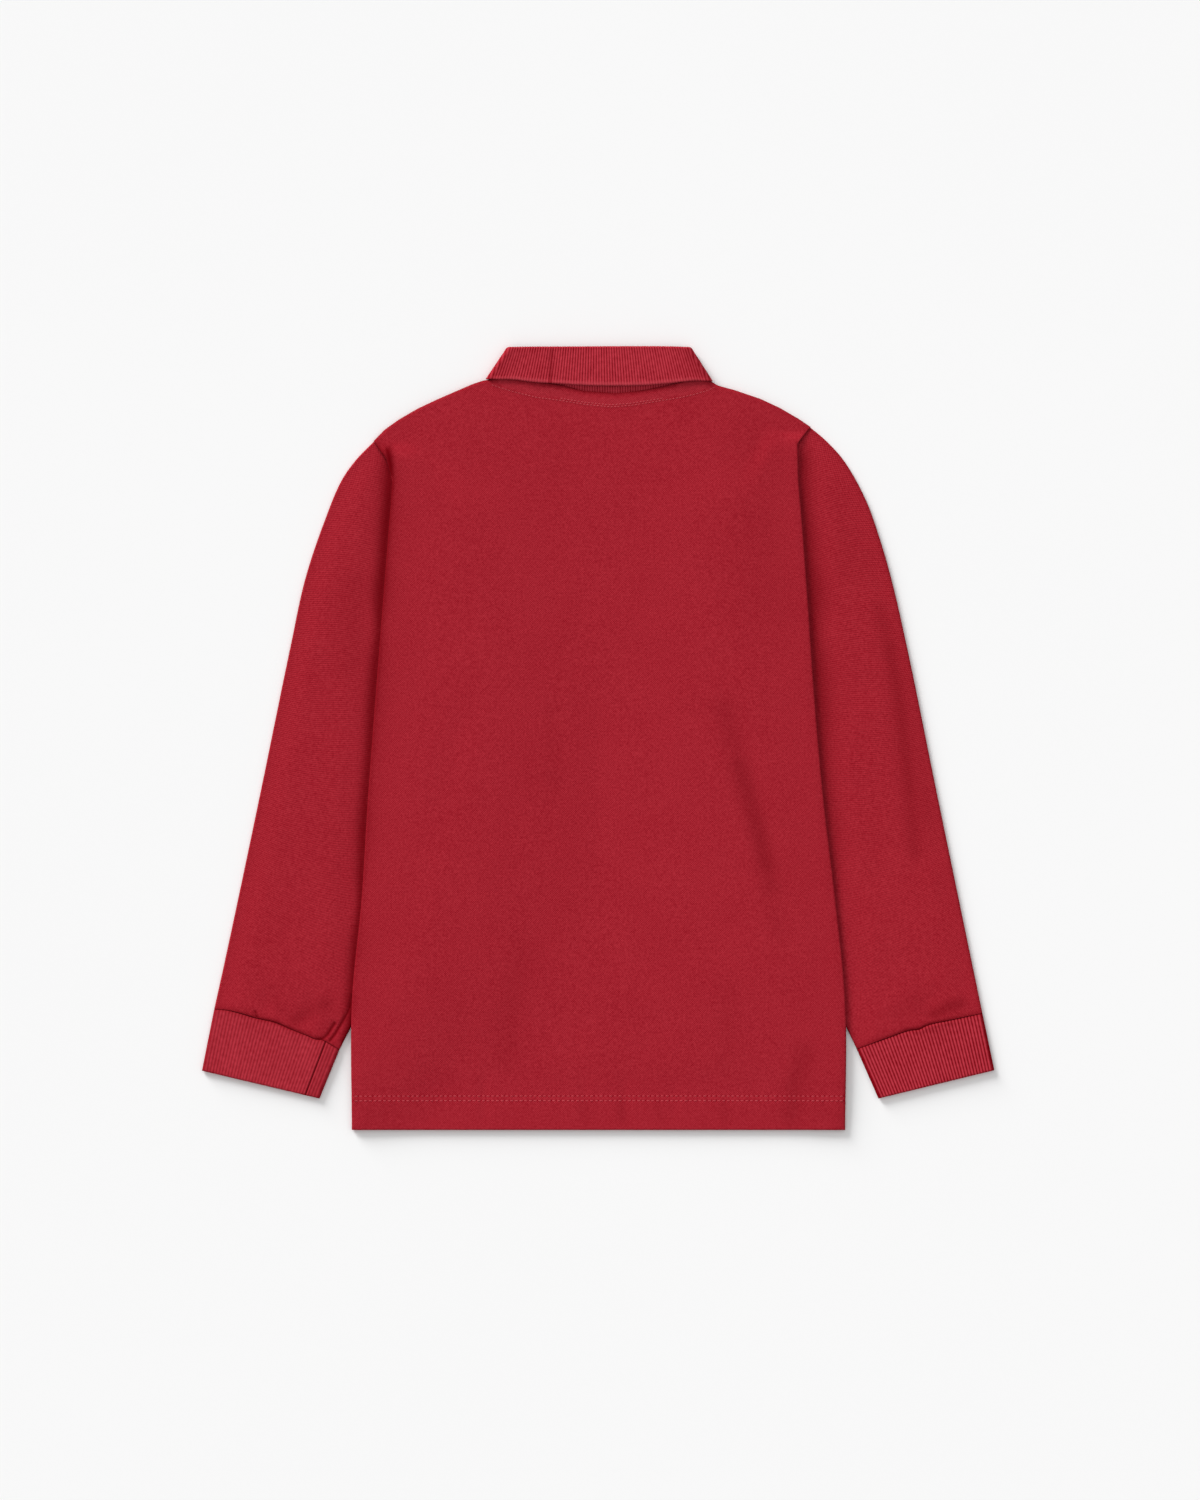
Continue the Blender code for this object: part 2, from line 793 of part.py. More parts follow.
def collar_row(station, row, depth):
    """A point of the collar. A row is a place along its hook, and depth is out from its middle."""
    neck, fold, edge = station.neck, station.fold, station.edge
    upward = ((fold - neck).normalized() + (fold - edge).normalized()).normalized()
    crest = fold - upward * (ROLL_MIDDLE + RIB_CLOTH / 2)
    radius = ROLL_MIDDLE + depth - station.rib * row.ribbed * RIB_DEPTH
    if row.part == "stand":
        spot, out = neck.lerp(crest, row.share), -radius
    elif row.part == "roll":
        angle = math.radians(row.share)
        spot, out = crest + upward * radius * math.cos(angle), radius * math.sin(angle)
    else:
        spot, out = crest.lerp(edge, row.share), radius
    turn = math.radians(station.turn)
    loop = LOOP_RADIUS + out
    return spot.x - loop * math.cos(turn), spot.y, COLLAR_RADIUS + loop * math.sin(turn)


def make_collar(finish):
    columns = 2 * COLLAR_RIBS
    fine = [(i / columns, i % 2) for i in range(columns + 1)]
    coarse = [(i / columns, 0) for i in range(0, columns + 1, 8)]
    band = 1 - PLAIN_EDGE / (COLLAR_FOLD[0].y - COLLAR_EDGE[0].y)
    rows = [
        Row("stand", 0.0, 0),
        Row("roll", -45, 0),
        Row("roll", 0, 1),
        Row("roll", 45, 1),
        Row("fall", 0.0, 1),
        Row("fall", band, 1),
        Row("fall", 1.0, 0),
    ]
    grids, shares = [], []
    for stations, depth in ((fine, RIB_CLOTH / 2), (coarse, -RIB_CLOTH / 2)):
        placed = collar_stations(stations)
        grids.append([[collar_row(station, row, depth) for station in placed] for row in rows])
        before = len(WING_SHARES) + len(SIDE_TURNS)
        shares.append(list(range(-before, 0)) + [share for share, _ in stations])
        shares[-1] += list(range(2, 2 + before))
    return wall("collar", grids[0], grids[1], shares[0], shares[1], False, finish)


# Buttons


def make_button(button, finish):
    """A turned disc with a sunk middle, its face down on the surface."""
    radius, height = BUTTON_RADIUS, BUTTON_HEIGHT
    profile = [(0, 0.5), (radius - 1.9, 0.5), (radius - 1.3, 0), (radius - 0.5, 0), (radius, 0.5)]
    profile += [(radius, height - 0.4), (radius - 0.6, height), (0, height)]
    disc = bmesh.new()
    line = [disc.verts.new((x, 0, z)) for x, z in profile]
    edges = [disc.edges.new(pair) for pair in zip(line, line[1:])]
    bmesh.ops.spin(
        disc, geom=line + edges, axis=(0, 0, 1), cent=(0, 0, 0), angle=math.tau, steps=20, use_merge=True
    )
    bmesh.ops.remove_doubles(disc, verts=disc.verts, dist=0.01)
    bmesh.ops.translate(disc, vec=(button.x, button.y, 0), verts=disc.verts)
    return add_object(button.name, disc, finish, sharp_from=35)


def main():
    for leftover in list(bpy.data.objects):
        bpy.data.objects.remove(leftover)
    pique = material("pique", PIQUE_RED, 0.9)
    rib = material("rib", RIB_RED, 0.9)
    horn = material("button", BUTTON_RED, 0.35)
    make_back(pique)
    make_front(pique)
    make_placket(pique)
    for side in SLEEVES:
        make_sleeve(side, pique)
        make_cuff(side, rib)
    make_collar(rib)
    for button in BUTTONS:
        make_button(button, horn)


main()
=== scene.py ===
# %% [markdown]
# # A polo shirt laid flat, with its back up
# This lesson dresses a child's long-sleeved polo shirt. The shirt lies on a table with
# its back towards us. Its sleeves are turned down beside the body and partly tucked
# under it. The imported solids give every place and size. Here each piece of cloth is made
# again with enough points for soft folds, ribs, seams and stitches.

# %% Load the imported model
import json
import math
from collections import namedtuple

import bmesh
import bpy
import numpy as np
from mathutils import Matrix, Vector, noise

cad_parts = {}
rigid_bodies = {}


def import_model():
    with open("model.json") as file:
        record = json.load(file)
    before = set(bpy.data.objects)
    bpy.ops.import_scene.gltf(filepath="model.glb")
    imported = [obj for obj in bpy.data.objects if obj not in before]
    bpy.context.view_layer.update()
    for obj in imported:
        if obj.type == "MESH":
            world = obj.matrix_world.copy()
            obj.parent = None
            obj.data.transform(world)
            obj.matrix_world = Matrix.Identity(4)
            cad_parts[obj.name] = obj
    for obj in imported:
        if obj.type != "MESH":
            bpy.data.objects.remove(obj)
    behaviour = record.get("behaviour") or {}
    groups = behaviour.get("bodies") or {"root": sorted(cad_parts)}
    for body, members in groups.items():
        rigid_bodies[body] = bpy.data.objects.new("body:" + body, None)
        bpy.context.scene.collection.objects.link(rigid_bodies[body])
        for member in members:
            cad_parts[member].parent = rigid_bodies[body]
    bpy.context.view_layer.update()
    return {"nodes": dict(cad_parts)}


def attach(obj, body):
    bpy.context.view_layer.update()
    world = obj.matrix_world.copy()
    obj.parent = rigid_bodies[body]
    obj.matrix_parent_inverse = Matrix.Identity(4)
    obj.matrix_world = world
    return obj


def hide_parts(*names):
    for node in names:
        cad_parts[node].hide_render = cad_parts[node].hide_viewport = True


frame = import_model()
print("pieces in the packed model:", sorted(frame["nodes"]))

# %% [markdown]
# ## The camera
# The photograph looks straight down on the shirt, and its edges stay parallel, so the
# camera was far away with a long lens. One picture point is 0.78 mm of cloth. That
# gives the camera's place and its height over the table.

# %% Set the camera over the shirt
MM = 0.001
PHOTO_WIDTH = 1200
PHOTO_HEIGHT = 1500
PHOTO_MM = 0.78
SHIRT_ACROSS = 599.0
SHIRT_DOWN = 738.5
SENSOR = 36.0
LENS = 150.0


def on_cloth(across, down):
    """Millimetres from the shirt's middle for a point of the photograph."""
    return (across - SHIRT_ACROSS) * PHOTO_MM, (SHIRT_DOWN - down) * PHOTO_MM


camera_data = bpy.data.cameras.new("camera")
camera_data.lens = LENS
camera_data.sensor_fit = "VERTICAL"
camera_data.sensor_height = SENSOR
camera_data.sensor_width = SENSOR * PHOTO_WIDTH / PHOTO_HEIGHT
camera_data.clip_end = 20
camera = bpy.data.objects.new("camera", camera_data)
bpy.context.scene.collection.objects.link(camera)
bpy.context.scene.camera = camera
middle = on_cloth(PHOTO_WIDTH / 2, PHOTO_HEIGHT / 2)
camera_height = PHOTO_HEIGHT * PHOTO_MM * LENS / SENSOR
camera.location = (middle[0] * MM, middle[1] * MM, camera_height * MM)
print("camera height in metres:", round(camera_height * MM, 3))

# %% [markdown]
# ## The measures
# The shirt's maker works from a few lines: the side edges, the shoulders, the neck, and
# four edges for each sleeve. These lines follow the solids, in millimetres. Some lie up
# to 2 mm further out, because a soft round edge looks narrower than a solid's sharp one.
# X runs across the shirt, Y towards the collar and Z up from the table.

# %% Lines of the body
Side = namedtuple("Side", "y left right")
Fold = namedtuple("Fold", "x0 y0 x1 y1 bend width depth")
Button = namedtuple("Button", "name x y")

HEM_Y = -305.2
BODY_SIDES = [
    Side(y=HEM_Y, left=-192.7, right=191.9),
    Side(y=-204.0, left=-192.5, right=192.0),
    Side(y=-126.0, left=-185.1, right=184.4),
    Side(y=-48.0, left=-180.2, right=175.2),
    Side(y=30.0, left=-174.4, right=168.2),
    Side(y=108.0, left=-168.3, right=162.8),
    Side(y=170.0, left=-163.4, right=158.2),
    Side(y=201.6, left=-160.8, right=155.5),
]
SHOULDERS = [
    (-175.3, 231.9),
    (-166.9, 240.6),
    (-156.0, 248.4),
    (-141.2, 257.0),
    (-126.4, 264.0),
    (-110.0, 271.1),
    (-98.3, 276.2),
    (-90.0, 278.9),
    (-79.6, 280.8),
    (-54.0, 279.4),
    (-28.0, 275.2),
    (-12.0, 270.8),
    (14.0, 269.0),
    (33.0, 271.1),
    (53.0, 275.0),
    (81.1, 282.0),
    (87.4, 278.1),
    (92.5, 275.0),
    (105.8, 271.4),
    (125.5, 264.7),
    (140.4, 257.8),
    (155.2, 249.2),
    (164.6, 242.8),
]
NECK_LEFT = -79.6
NECK_RIGHT = 81.1
NECK_MIDDLE = (NECK_LEFT + NECK_RIGHT) / 2
MIRROR = 2 * NECK_MIDDLE
FRONT_NECK = [
    (-79.6, 280.6),
    (-74.0, 254.0),
    (-64.0, 238.0),
    (-50.0, 226.0),
    (-32.0, 218.5),
    (-13.8, 215.2),
    (NECK_MIDDLE, 214.6),
]
print("half chest and hem, mm:", round(BODY_SIDES[0].right - BODY_SIDES[0].left, 1))

# %% Lines of the sleeves and cuffs
SLEEVES = {
    "left": {
        "outer": [
            (-175.5, 231.6),
            (-189.5, 217.2),
            (-200.5, 201.6),
            (-213.7, 170.4),
            (-229.3, 123.6),
            (-239.5, 76.8),
            (-265.2, -48.0),
            (-291.6, -172.8),
            (-300.0, -210.9),
        ],
        "armhole": [
            (-175.5, 231.6),
            (-169.7, 223.7),
            (-165.7, 218.5),
            (-158.0, 207.0),
            (-146.0, 178.0),
            (-129.0, 128.0),
            (-112.0, 76.0),
        ],
        "underarm": [
            (-112.0, 76.0),
            (-116.0, 15.0),
            (-129.0, -40.0),
            (-148.0, -110.0),
            (-191.0, -219.6),
            (-202.4, -242.7),
        ],
        "cuff_seam": [
            (-300.0, -210.9),
            (-289.4, -211.8),
            (-279.2, -214.1),
            (-268.3, -217.5),
            (-252.7, -221.4),
            (-240.2, -226.6),
            (-227.8, -231.3),
            (-220.0, -234.4),
            (-215.3, -235.0),
            (-210.6, -237.5),
            (-202.4, -242.7),
        ],
        "cuff_hem": [(-309.6, -259.0), (-217.9, -280.7)],
    },
    "right": {
        "outer": [
            (164.8, 242.5),
            (175.9, 233.2),
            (190.2, 217.6),
            (207.9, 186.3),
            (219.2, 155.0),
            (228.2, 123.6),
            (239.0, 76.8),
            (264.6, -48.0),
            (290.4, -172.8),
            (299.0, -214.3),
        ],
        "armhole": [
            (164.8, 242.5),
            (157.9, 234.9),
            (154.2, 229.6),
            (150.5, 219.0),
            (142.0, 190.0),
            (126.0, 135.0),
            (111.0, 80.0),
        ],
        "underarm": [
            (111.0, 80.0),
            (115.0, 15.0),
            (128.0, -40.0),
            (146.0, -110.0),
            (190.4, -219.4),
            (200.9, -242.0),
        ],
        "cuff_seam": [
            (299.0, -214.3),
            (273.8, -219.4),
            (256.0, -223.6),
            (249.6, -226.6),
            (242.0, -227.6),
            (223.9, -233.6),
            (200.9, -242.0),
        ],
        "cuff_hem": [(308.3, -258.6), (217.9, -280.7)],
    },
}
SLEEVE_LENGTH = 470.0
SLEEVE_HALF_ROUND = 125.0
CUFF_LENGTH = 49.0
CUFF_WIDTH = 92.0
SEAM_DIVES = {"left": (234.5, 220.0), "right": (244.5, 230.5)}
print("sleeves:", ", ".join(SLEEVES))

# %% Lines of the collar
COLLAR_FOLD = [
    (-72.0, 305.2),
    (-62.0, 305.4),
    (-15.0, 305.6),
    (30.0, 305.8),
    (62.0, 305.6),
    (72.0, 305.2),
]
COLLAR_EDGE = [
    (-88.6, 279.9),
    (-69.4, 279.4),
    (-53.8, 277.6),
    (-30.4, 276.2),
    (-7.0, 274.9),
    (32.0, 274.9),
    (55.4, 276.4),
    (78.8, 278.6),
    (88.9, 278.3),
]
WING_FOLD = [(-72.0, 305.2), (-62.0, 270.0), (-38.0, 245.0), (0.3, 234.0)]
WING_EDGE = [(-88.6, 279.9), (-76.0, 240.0), (-59.0, 207.0), (-38.0, 188.0)]
print("collar width at its fold, mm:", COLLAR_FOLD[-1][0] - COLLAR_FOLD[0][0])

# %% Thicknesses of cloth and the air between layers
CLOTH = 1.2
RIB_CLOTH = 1.8
CUFF_CLOTH = 1.6
PLACKET_CLOTH = 1.6
SEAM_GAP = 0.3
SEWN_GAP = 0.05
SEAM_LAP = 0.45
LAYER_AIR = 0.5
PUFF = 0.8
SLEEVE_HEIGHT = 2 * CLOTH + LAYER_AIR
OVER_SLEEVE = SLEEVE_HEIGHT + SEAM_GAP
OVER_WING = RIB_CLOTH + SEAM_GAP
COLLAR_AIR = 0.9
SHELF = 17.0
RAMP = 18.0
SEAM_FROM = 0.955
PLACKET_WIDTH = 28.6
PLACKET_LENGTH = 142.0
PLACKET_LIFT_FOOT = 126.0
PLACKET_LIFT_TOP = 240.0
print("the body over a sleeve stands at, mm:", round(OVER_SLEEVE + 2 * CLOTH + LAYER_AIR, 2))

# %% [markdown]
# ## Curves and sheets of cloth
# A panel of cloth has four edges. A Coons patch fills them: every point of the sheet
# has a share across and a share along, and the patch tells its place. All the points
# of a sheet go through these functions at once, as arrays, which is quick.


# %% Curves, patches and distances
def smooth(share):
    """A soft step from 0 to 1."""
    share = np.clip(share, 0.0, 1.0)
    return share * share * (3 - 2 * share)


def curve(points):
    """A smooth line through points, as a function of the share of its length."""
    spots = np.array(points, float)
    lengths = np.linalg.norm(np.diff(spots, axis=0), axis=1)
    knots = np.concatenate([[0.0], np.cumsum(lengths)]) / lengths.sum()
    steps = np.diff(spots, axis=0) / np.diff(knots)[:, None]
    slopes = np.concatenate([steps[:1], (steps[:-1] + steps[1:]) / 2, steps[-1:]])

    def at(share):
        share = np.asarray(share, float)
        i = np.clip(np.searchsorted(knots, share, side="right") - 1, 0, len(steps) - 1)
        span = (knots[i + 1] - knots[i])[..., None]
        t = (share - knots[i])[..., None] / span
        start = spots[i] * (2 * t**3 - 3 * t**2 + 1) + slopes[i] * span * (t**3 - 2 * t**2 + t)
        end = spots[i + 1] * (3 * t**2 - 2 * t**3) + slopes[i + 1] * span * (t**3 - t**2)
        return start + end

    return at


def height_on(points, x):
    """Height at x of the straight lines that join points."""
    table = np.array(points)
    return np.interp(x, table[:, 0], table[:, 1])


def patch(bottom, top, left, right):
    """A sheet between four edges, each a function of a share."""
    low_start, low_end = bottom(0.0), bottom(1.0)
    high_start, high_end = top(0.0), top(1.0)

    def place(across, along):
        u = np.asarray(across, float)[..., None]
        v = np.asarray(along, float)[..., None]
        sides = left(along) * (1 - u) + right(along) * u
        ends = bottom(across) * (1 - v) + top(across) * v
        low = low_start * (1 - u) + low_end * u
        high = high_start * (1 - u) + high_end * u
        return sides + ends - low * (1 - v) - high * v

    return place


def beyond(outline, x, y):
    """How far places are outside an outline, and nothing for those within it."""
    nearest = np.full(np.shape(x), np.inf)
    within = np.zeros(np.shape(x), bool)
    for a, b in zip(outline, np.roll(outline, -1, axis=0)):
        edge = b - a
        share = np.clip(((x - a[0]) * edge[0] + (y - a[1]) * edge[1]) / (edge @ edge), 0, 1)
        away = np.hypot(x - a[0] - share * edge[0], y - a[1] - share * edge[1])
        nearest = np.minimum(nearest, away)
        if a[1] != b[1]:
            crosses = (a[1] > y) != (b[1] > y)
            within ^= crosses & (x < a[0] + (y - a[1]) * edge[0] / edge[1])
    return np.where(within, 0.0, nearest)


def folded(folds, x, y):
    """How deep the soft folds are at places."""
    deep = np.zeros(np.shape(x))
    for fold in folds:
        run_x, run_y = fold.x1 - fold.x0, fold.y1 - fold.y0
        length = math.hypot(run_x, run_y)
        share = ((x - fold.x0) * run_x + (y - fold.y0) * run_y) / length**2
        aside = (run_x * (y - fold.y0) - run_y * (x - fold.x0)) / length
        aside = aside - fold.bend * 4 * share * (1 - share)
        fade = smooth((share + 0.3) / 0.6) * smooth((1.3 - share) / 0.6)
        deep = deep + fold.depth * fade * np.exp(-((aside / fold.width) ** 2))
    return deep


def ripple(x, y, size, seed):
    """An uneven swell between about -1 and 1, whose hills are of a given size."""
    swell = [noise.noise(Vector((a / size, b / size, seed))) for a, b in zip(np.ravel(x), np.ravel(y))]
    return np.reshape(swell, np.shape(x)) * 1.6


def off_line(points, x, y):
    """How far places are from a line through points."""
    nearest = np.full(np.shape(x), np.inf)
    for a, b in zip(points[:-1], points[1:]):
        run_x, run_y = b[0] - a[0], b[1] - a[1]
        share = ((x - a[0]) * run_x + (y - a[1]) * run_y) / (run_x**2 + run_y**2)
        share = np.clip(share, 0, 1)
        nearest = np.minimum(nearest, np.hypot(x - a[0] - share * run_x, y - a[1] - share * run_y))
    return nearest


def drawn(marks, x, y):
    """The strongest of several soft lines at places: their painted shade, or how deep they press in."""
    strongest = np.zeros(np.shape(x))
    for mark in marks:
        here = mark.strength * np.exp(-((off_line(mark.line, x, y) / mark.width) ** 2))
        strongest = np.maximum(strongest, here)
    return strongest


print("a soft step at a third:", round(float(smooth(1 / 3)), 3))

# %% [markdown]
# ## Heights of the layers
# The front panel rests on the table, but it climbs over the tucked sleeves and over the
# collar's wings. The back panel follows it with a little air between. So one function
# tells the height of a layer from the layer below, and the folds are pressed into it.

# %% Soft folds, each a line with a bow, a width and a depth
BODY_FOLDS = [
    Fold(x0=102, y0=15, x1=135, y1=-112, bend=5, width=9, depth=0.7),
    Fold(x0=-101, y0=20, x1=-134, y1=-105, bend=-4, width=10, depth=0.3),
    Fold(x0=-66, y0=-190, x1=-76, y1=-270, bend=0, width=12, depth=0.2),
    Fold(x0=154, y0=-200, x1=158, y1=-292, bend=3, width=9, depth=0.35),
    Fold(x0=-34, y0=46, x1=-37, y1=-9, bend=0, width=7, depth=0.15),
]
HEM_PUCKERS = [
    Fold(x0=-89, y0=-262, x1=-90, y1=-300, bend=0, width=4, depth=0.3),
    Fold(x0=-11, y0=-268, x1=-12, y1=-296, bend=0, width=3.5, depth=0.22),
    Fold(x0=20, y0=-266, x1=22, y1=-298, bend=0, width=4, depth=0.26),
    Fold(x0=59, y0=-268, x1=58, y1=-296, bend=0, width=3.5, depth=0.22),
    Fold(x0=154, y0=-260, x1=156, y1=-300, bend=0, width=5, depth=0.3),
]
SLEEVE_FOLDS = [
    Fold(x0=222, y0=105, x1=251, y1=-98, bend=-3, width=8, depth=0.5),
    Fold(x0=-214, y0=-234, x1=-206, y1=-222, bend=0, width=6, depth=0.5),
    Fold(x0=-262, y0=-216, x1=-256, y1=-196, bend=0, width=7, depth=0.4),
    Fold(x0=-233, y0=-226, x1=-222, y1=-200, bend=0, width=7, depth=0.4),
    Fold(x0=255, y0=-222, x1=262, y1=-196, bend=0, width=8, depth=0.4),
]
print("folds on the body:", len(BODY_FOLDS), "and on the sleeves:", len(SLEEVE_FOLDS))

# %% Painted shade along dark lines: creases, and seams on the sleeves
ShadedLine = namedtuple("ShadedLine", "strength width line")

# Painted shade on the back: the deep pool at the left armhole, the creases and the hem puckers.
BODY_SHADED_LINES = [
    ShadedLine(1.00, 3.5, [(-164.6, 225), (-162.6, 214), (-162.0, 198), (-164, 178)]),
    ShadedLine(0.16, 10.0, [(98, 22), (104, 0), (109, -20)]),
    ShadedLine(0.33, 8.4, [(109, -20), (116.2, -44), (125.6, -79), (131, -100)]),
    ShadedLine(0.22, 8.0, [(131, -100), (134.9, -118)]),
    ShadedLine(0.10, 8.0, [(134.9, -118), (139.6, -150)]),
    ShadedLine(0.09, 12.0, [(-62, -160), (-66, -200), (-73, -250)]),
    ShadedLine(0.20, 10.0, [(160, -245), (149, -296)]),
    ShadedLine(0.12, 4.5, [(-10, -284), (-11, -298)]),
    ShadedLine(0.16, 4.0, [(16, -284), (19, -298)]),
    ShadedLine(0.10, 4.0, [(45, -284), (49, -298)]),
    ShadedLine(0.12, 4.0, [(96, -284), (99, -298)]),
    ShadedLine(0.06, 9.0, [(98, -190), (99, -255)]),
    ShadedLine(0.07, 8.0, [(-36, 25), (-36, -35)]),
    ShadedLine(0.07, 26.0, [(118, 225), (132, 105)]),
    ShadedLine(0.05, 14.0, [(-35, 232), (-34, 205)]),
]
# Painted shade on the sleeves along seams and creases and above the cuffs. The first lines of the left
# sleeve are also pressed in.
SLEEVE_SHADED_LINES = {
    "left": [
        ShadedLine(
            1.00, 1.3, [(-209.8, -235.5), (-205.9, -230.5), (-201.2, -222.7), (-195, -211.8), (-192, -201)]
        ),
        ShadedLine(
            0.95, 1.3, [(-220, -234.4), (-215.3, -234), (-211.4, -230.5), (-207.5, -224.2), (-205.9, -221.9)]
        ),
        ShadedLine(0.90, 1.0, [(-268.7, -212.0), (-267.5, -214.1), (-266.8, -216.8)]),
        ShadedLine(1.00, 4.0, [(-191.5, -205), (-193.5, -224.3), (-198.6, -236)]),
        ShadedLine(0.30, 6.0, [(-237, -219.6), (-224, -211), (-213, -206.5)]),
        ShadedLine(0.16, 5.0, [(-252, -205), (-248, -211)]),
        ShadedLine(0.12, 12.0, [(-192, 125), (-197, 60)]),
    ],
    "right": [
        ShadedLine(0.22, 7.0, [(220, 99), (226.5, 73)]),
        ShadedLine(0.36, 6.5, [(226.5, 73), (231.7, 45.6), (236.3, 9.8), (243, -44)]),
        ShadedLine(0.26, 7.0, [(243, -44), (246.5, -88)]),
        ShadedLine(0.14, 13.0, [(232, 92), (244, 10), (254, -60)]),
        ShadedLine(0.40, 5.5, [(262, -215), (270, -210), (280, -207)]),
        ShadedLine(0.14, 7.0, [(232, -214), (246, -205)]),
        ShadedLine(0.08, 14.0, [(186, 190), (200, 130)]),
    ],
}
# Painted shadow on the cuffs, below the sleeve's seam.
CUFF_SHADED_LINES = {
    "left": [ShadedLine(0.25, 7.0, [(-208, -240), (-219, -276)])],
    "right": [ShadedLine(0.38, 3.2, [(247.3, -228.6), (273.8, -222.6)])],
}
print("dark lines:", len(BODY_SHADED_LINES) + sum(len(marks) for marks in SLEEVE_SHADED_LINES.values()))


# %% Outlines that carry the body
def edge_at(y, side):
    """X of the body's side edge at heights."""
    rows = [(row.y, getattr(row, side)) for row in BODY_SIDES]
    return height_on(rows, y)


def sleeve_outline(side):
    edges = {name: curve(points) for name, points in SLEEVES[side].items()}
    shares = np.arange(14) / 14
    parts = [edges["armhole"](shares), edges["underarm"](shares), edges["underarm"]([1.0])]
    return np.concatenate(parts + [edges["outer"](1 - shares)])


def carried(outline, x, y, ramp=RAMP):
    """1 over what an outline holds, down to 0 where the cloth beside it is on the table."""
    return 1 - smooth((beyond(outline, x, y) - SHELF) / ramp)


SLEEVE_OUTLINES = {side: sleeve_outline(side) for side in SLEEVES}
wing_side = np.array(WING_EDGE)
fold_ends = np.array([COLLAR_FOLD[0]])
WING_OUTLINE = np.concatenate(
    [wing_side, wing_side[::-1] * [-1, 1] + [MIRROR, 0], fold_ends * [-1, 1] + [MIRROR, 0], fold_ends]
)
half = PLACKET_WIDTH / 2
PLACKET_OUTLINE = np.array(
    [
        (NECK_MIDDLE - half, PLACKET_LIFT_FOOT),
        (NECK_MIDDLE + half, PLACKET_LIFT_FOOT),
        (NECK_MIDDLE + half, PLACKET_LIFT_TOP),
        (NECK_MIDDLE - half, PLACKET_LIFT_TOP),
    ]
)
print("points round a sleeve:", len(SLEEVE_OUTLINES["left"]))


# %% Heights of the panels
GENTLE_CLIMB = 75.0
GENTLE_LEAD = 12.0


def either(a, b, soft):
    """The larger of two heights. The soft way rounds the crease where they meet."""
    return (a**4 + b**4) ** 0.25 if soft else np.maximum(a, b)


def joined_shares(a, b):
    """Two shares of a lift together: at least the larger one and at most 1."""
    return a + b - a * b


def lifted(x, y, ramp, soft=False):
    """How high the sleeves, the wings and the placket lift the cloth above them. The
    soft way is for the back panel, which bridges from layer to layer."""
    wings, strip = carried(WING_OUTLINE, x, y, ramp), carried(PLACKET_OUTLINE, x, y, ramp)
    height = OVER_WING * (joined_shares(wings, strip) if soft else np.maximum(wings, strip))
    for side, way in (("left", -1), ("right", 1)):
        high, low = SEAM_DIVES[side]
        share = smooth((high - y) / (high - low)) * carried(SLEEVE_OUTLINES[side], x, y, RAMP)
        if soft:
            gentle = smooth((height_on(SHOULDERS, x) - y) / GENTLE_CLIMB)
            gentle = gentle * smooth((high + GENTLE_LEAD - y) / GENTLE_CLIMB)
            share = joined_shares(share, gentle * carried(SLEEVE_OUTLINES[side], x, y, ramp))
        height = np.where(x * way > 0, either(height, OVER_SLEEVE * share, soft), height)
    return height


def front_under(x, y):
    """The underside of the front panel: on the table, or on what lies beneath it."""
    return lifted(x, y, RAMP)


PUFF_REACH = 60.0


def body_air(x, y):
    """Air between the front panel and the back panel."""
    inside = np.minimum(np.minimum(x - edge_at(y, "left"), edge_at(y, "right") - x), y - HEM_Y)
    collar_part = (COLLAR_AIR - LAYER_AIR) * carried(WING_OUTLINE, x, y)
    return LAYER_AIR + np.maximum(PUFF * smooth(inside / PUFF_REACH), collar_part)


HEM_STITCHES = -278.7
HEM_STITCHES_LOW = -282.3
HEM_TURN = 0.35


def hem_turn(y):
    """The turned-up hem doubles the cloth, up to its rows of stitches."""
    return HEM_TURN * (1 - smooth((y - HEM_STITCHES_LOW) / (HEM_STITCHES - HEM_STITCHES_LOW)))


BACK_RAMP = 75.0
BRIDGE_RAMP = 150.0
BRIDGE_FROM = 10.0
BRIDGE_OVER = 120.0


def back_under(x, y):
    """The back comes down beside what carries it in a longer slope than the front. Near
    the hem the slope is BACK_RAMP wide, and it widens to BRIDGE_RAMP further up."""
    air = body_air(x, y)
    pressed = np.minimum(folded(BODY_FOLDS, x, y), PUFF)
    bridged = smooth((y - HEM_Y - BRIDGE_FROM) / BRIDGE_OVER)
    lift = lifted(x, y, BACK_RAMP, soft=True) * (1 - bridged)
    lift = lift + lifted(x, y, BRIDGE_RAMP, soft=True) * bridged
    return lift + CLOTH + air - pressed * smooth(air / 2)


PULL_HEIGHT = 0.07
PULL_REACH = 6.0
PULL_PITCH = 7.4
SWELL_HEIGHT = 0.10


def back_top(x, y):
    """The upper face of the back panel, away from its edges. The hem's stitches pull the
    cloth into small waves, whose pitch wanders."""
    stitched = (HEM_STITCHES + HEM_STITCHES_LOW) / 2
    pull = PULL_HEIGHT * np.exp(-(((y - stitched) / PULL_REACH) ** 2))
    waves = pull * np.sin(x * math.tau / PULL_PITCH + 2 * np.sin(x / 31))
    soft = SWELL_HEIGHT * smooth((y - HEM_Y) / 20) * swell_at(x, y)
    return back_under(x, y) + CLOTH + hem_turn(y) + waves - folded(HEM_PUCKERS, x, y) + soft


def swell_at(x, y):
    """The uneven lie of soft cloth."""
    return ripple(x, y, 70, 3.1) + 0.5 * ripple(x, y, 26, 8.2)


def rounded(inside, radius, depth):
    """How far a folded edge has fallen away at distances inside it."""
    share = np.clip(inside / radius, 0.0, 1.0)
    return depth * (1 - np.sqrt(1 - (1 - share) ** 2))


probe = (np.array([-100.0, 0.0, 100.0]), np.array([0.0, 0.0, 0.0]))
print("height of the back across the waist, mm:", np.round(back_top(*probe), 2))

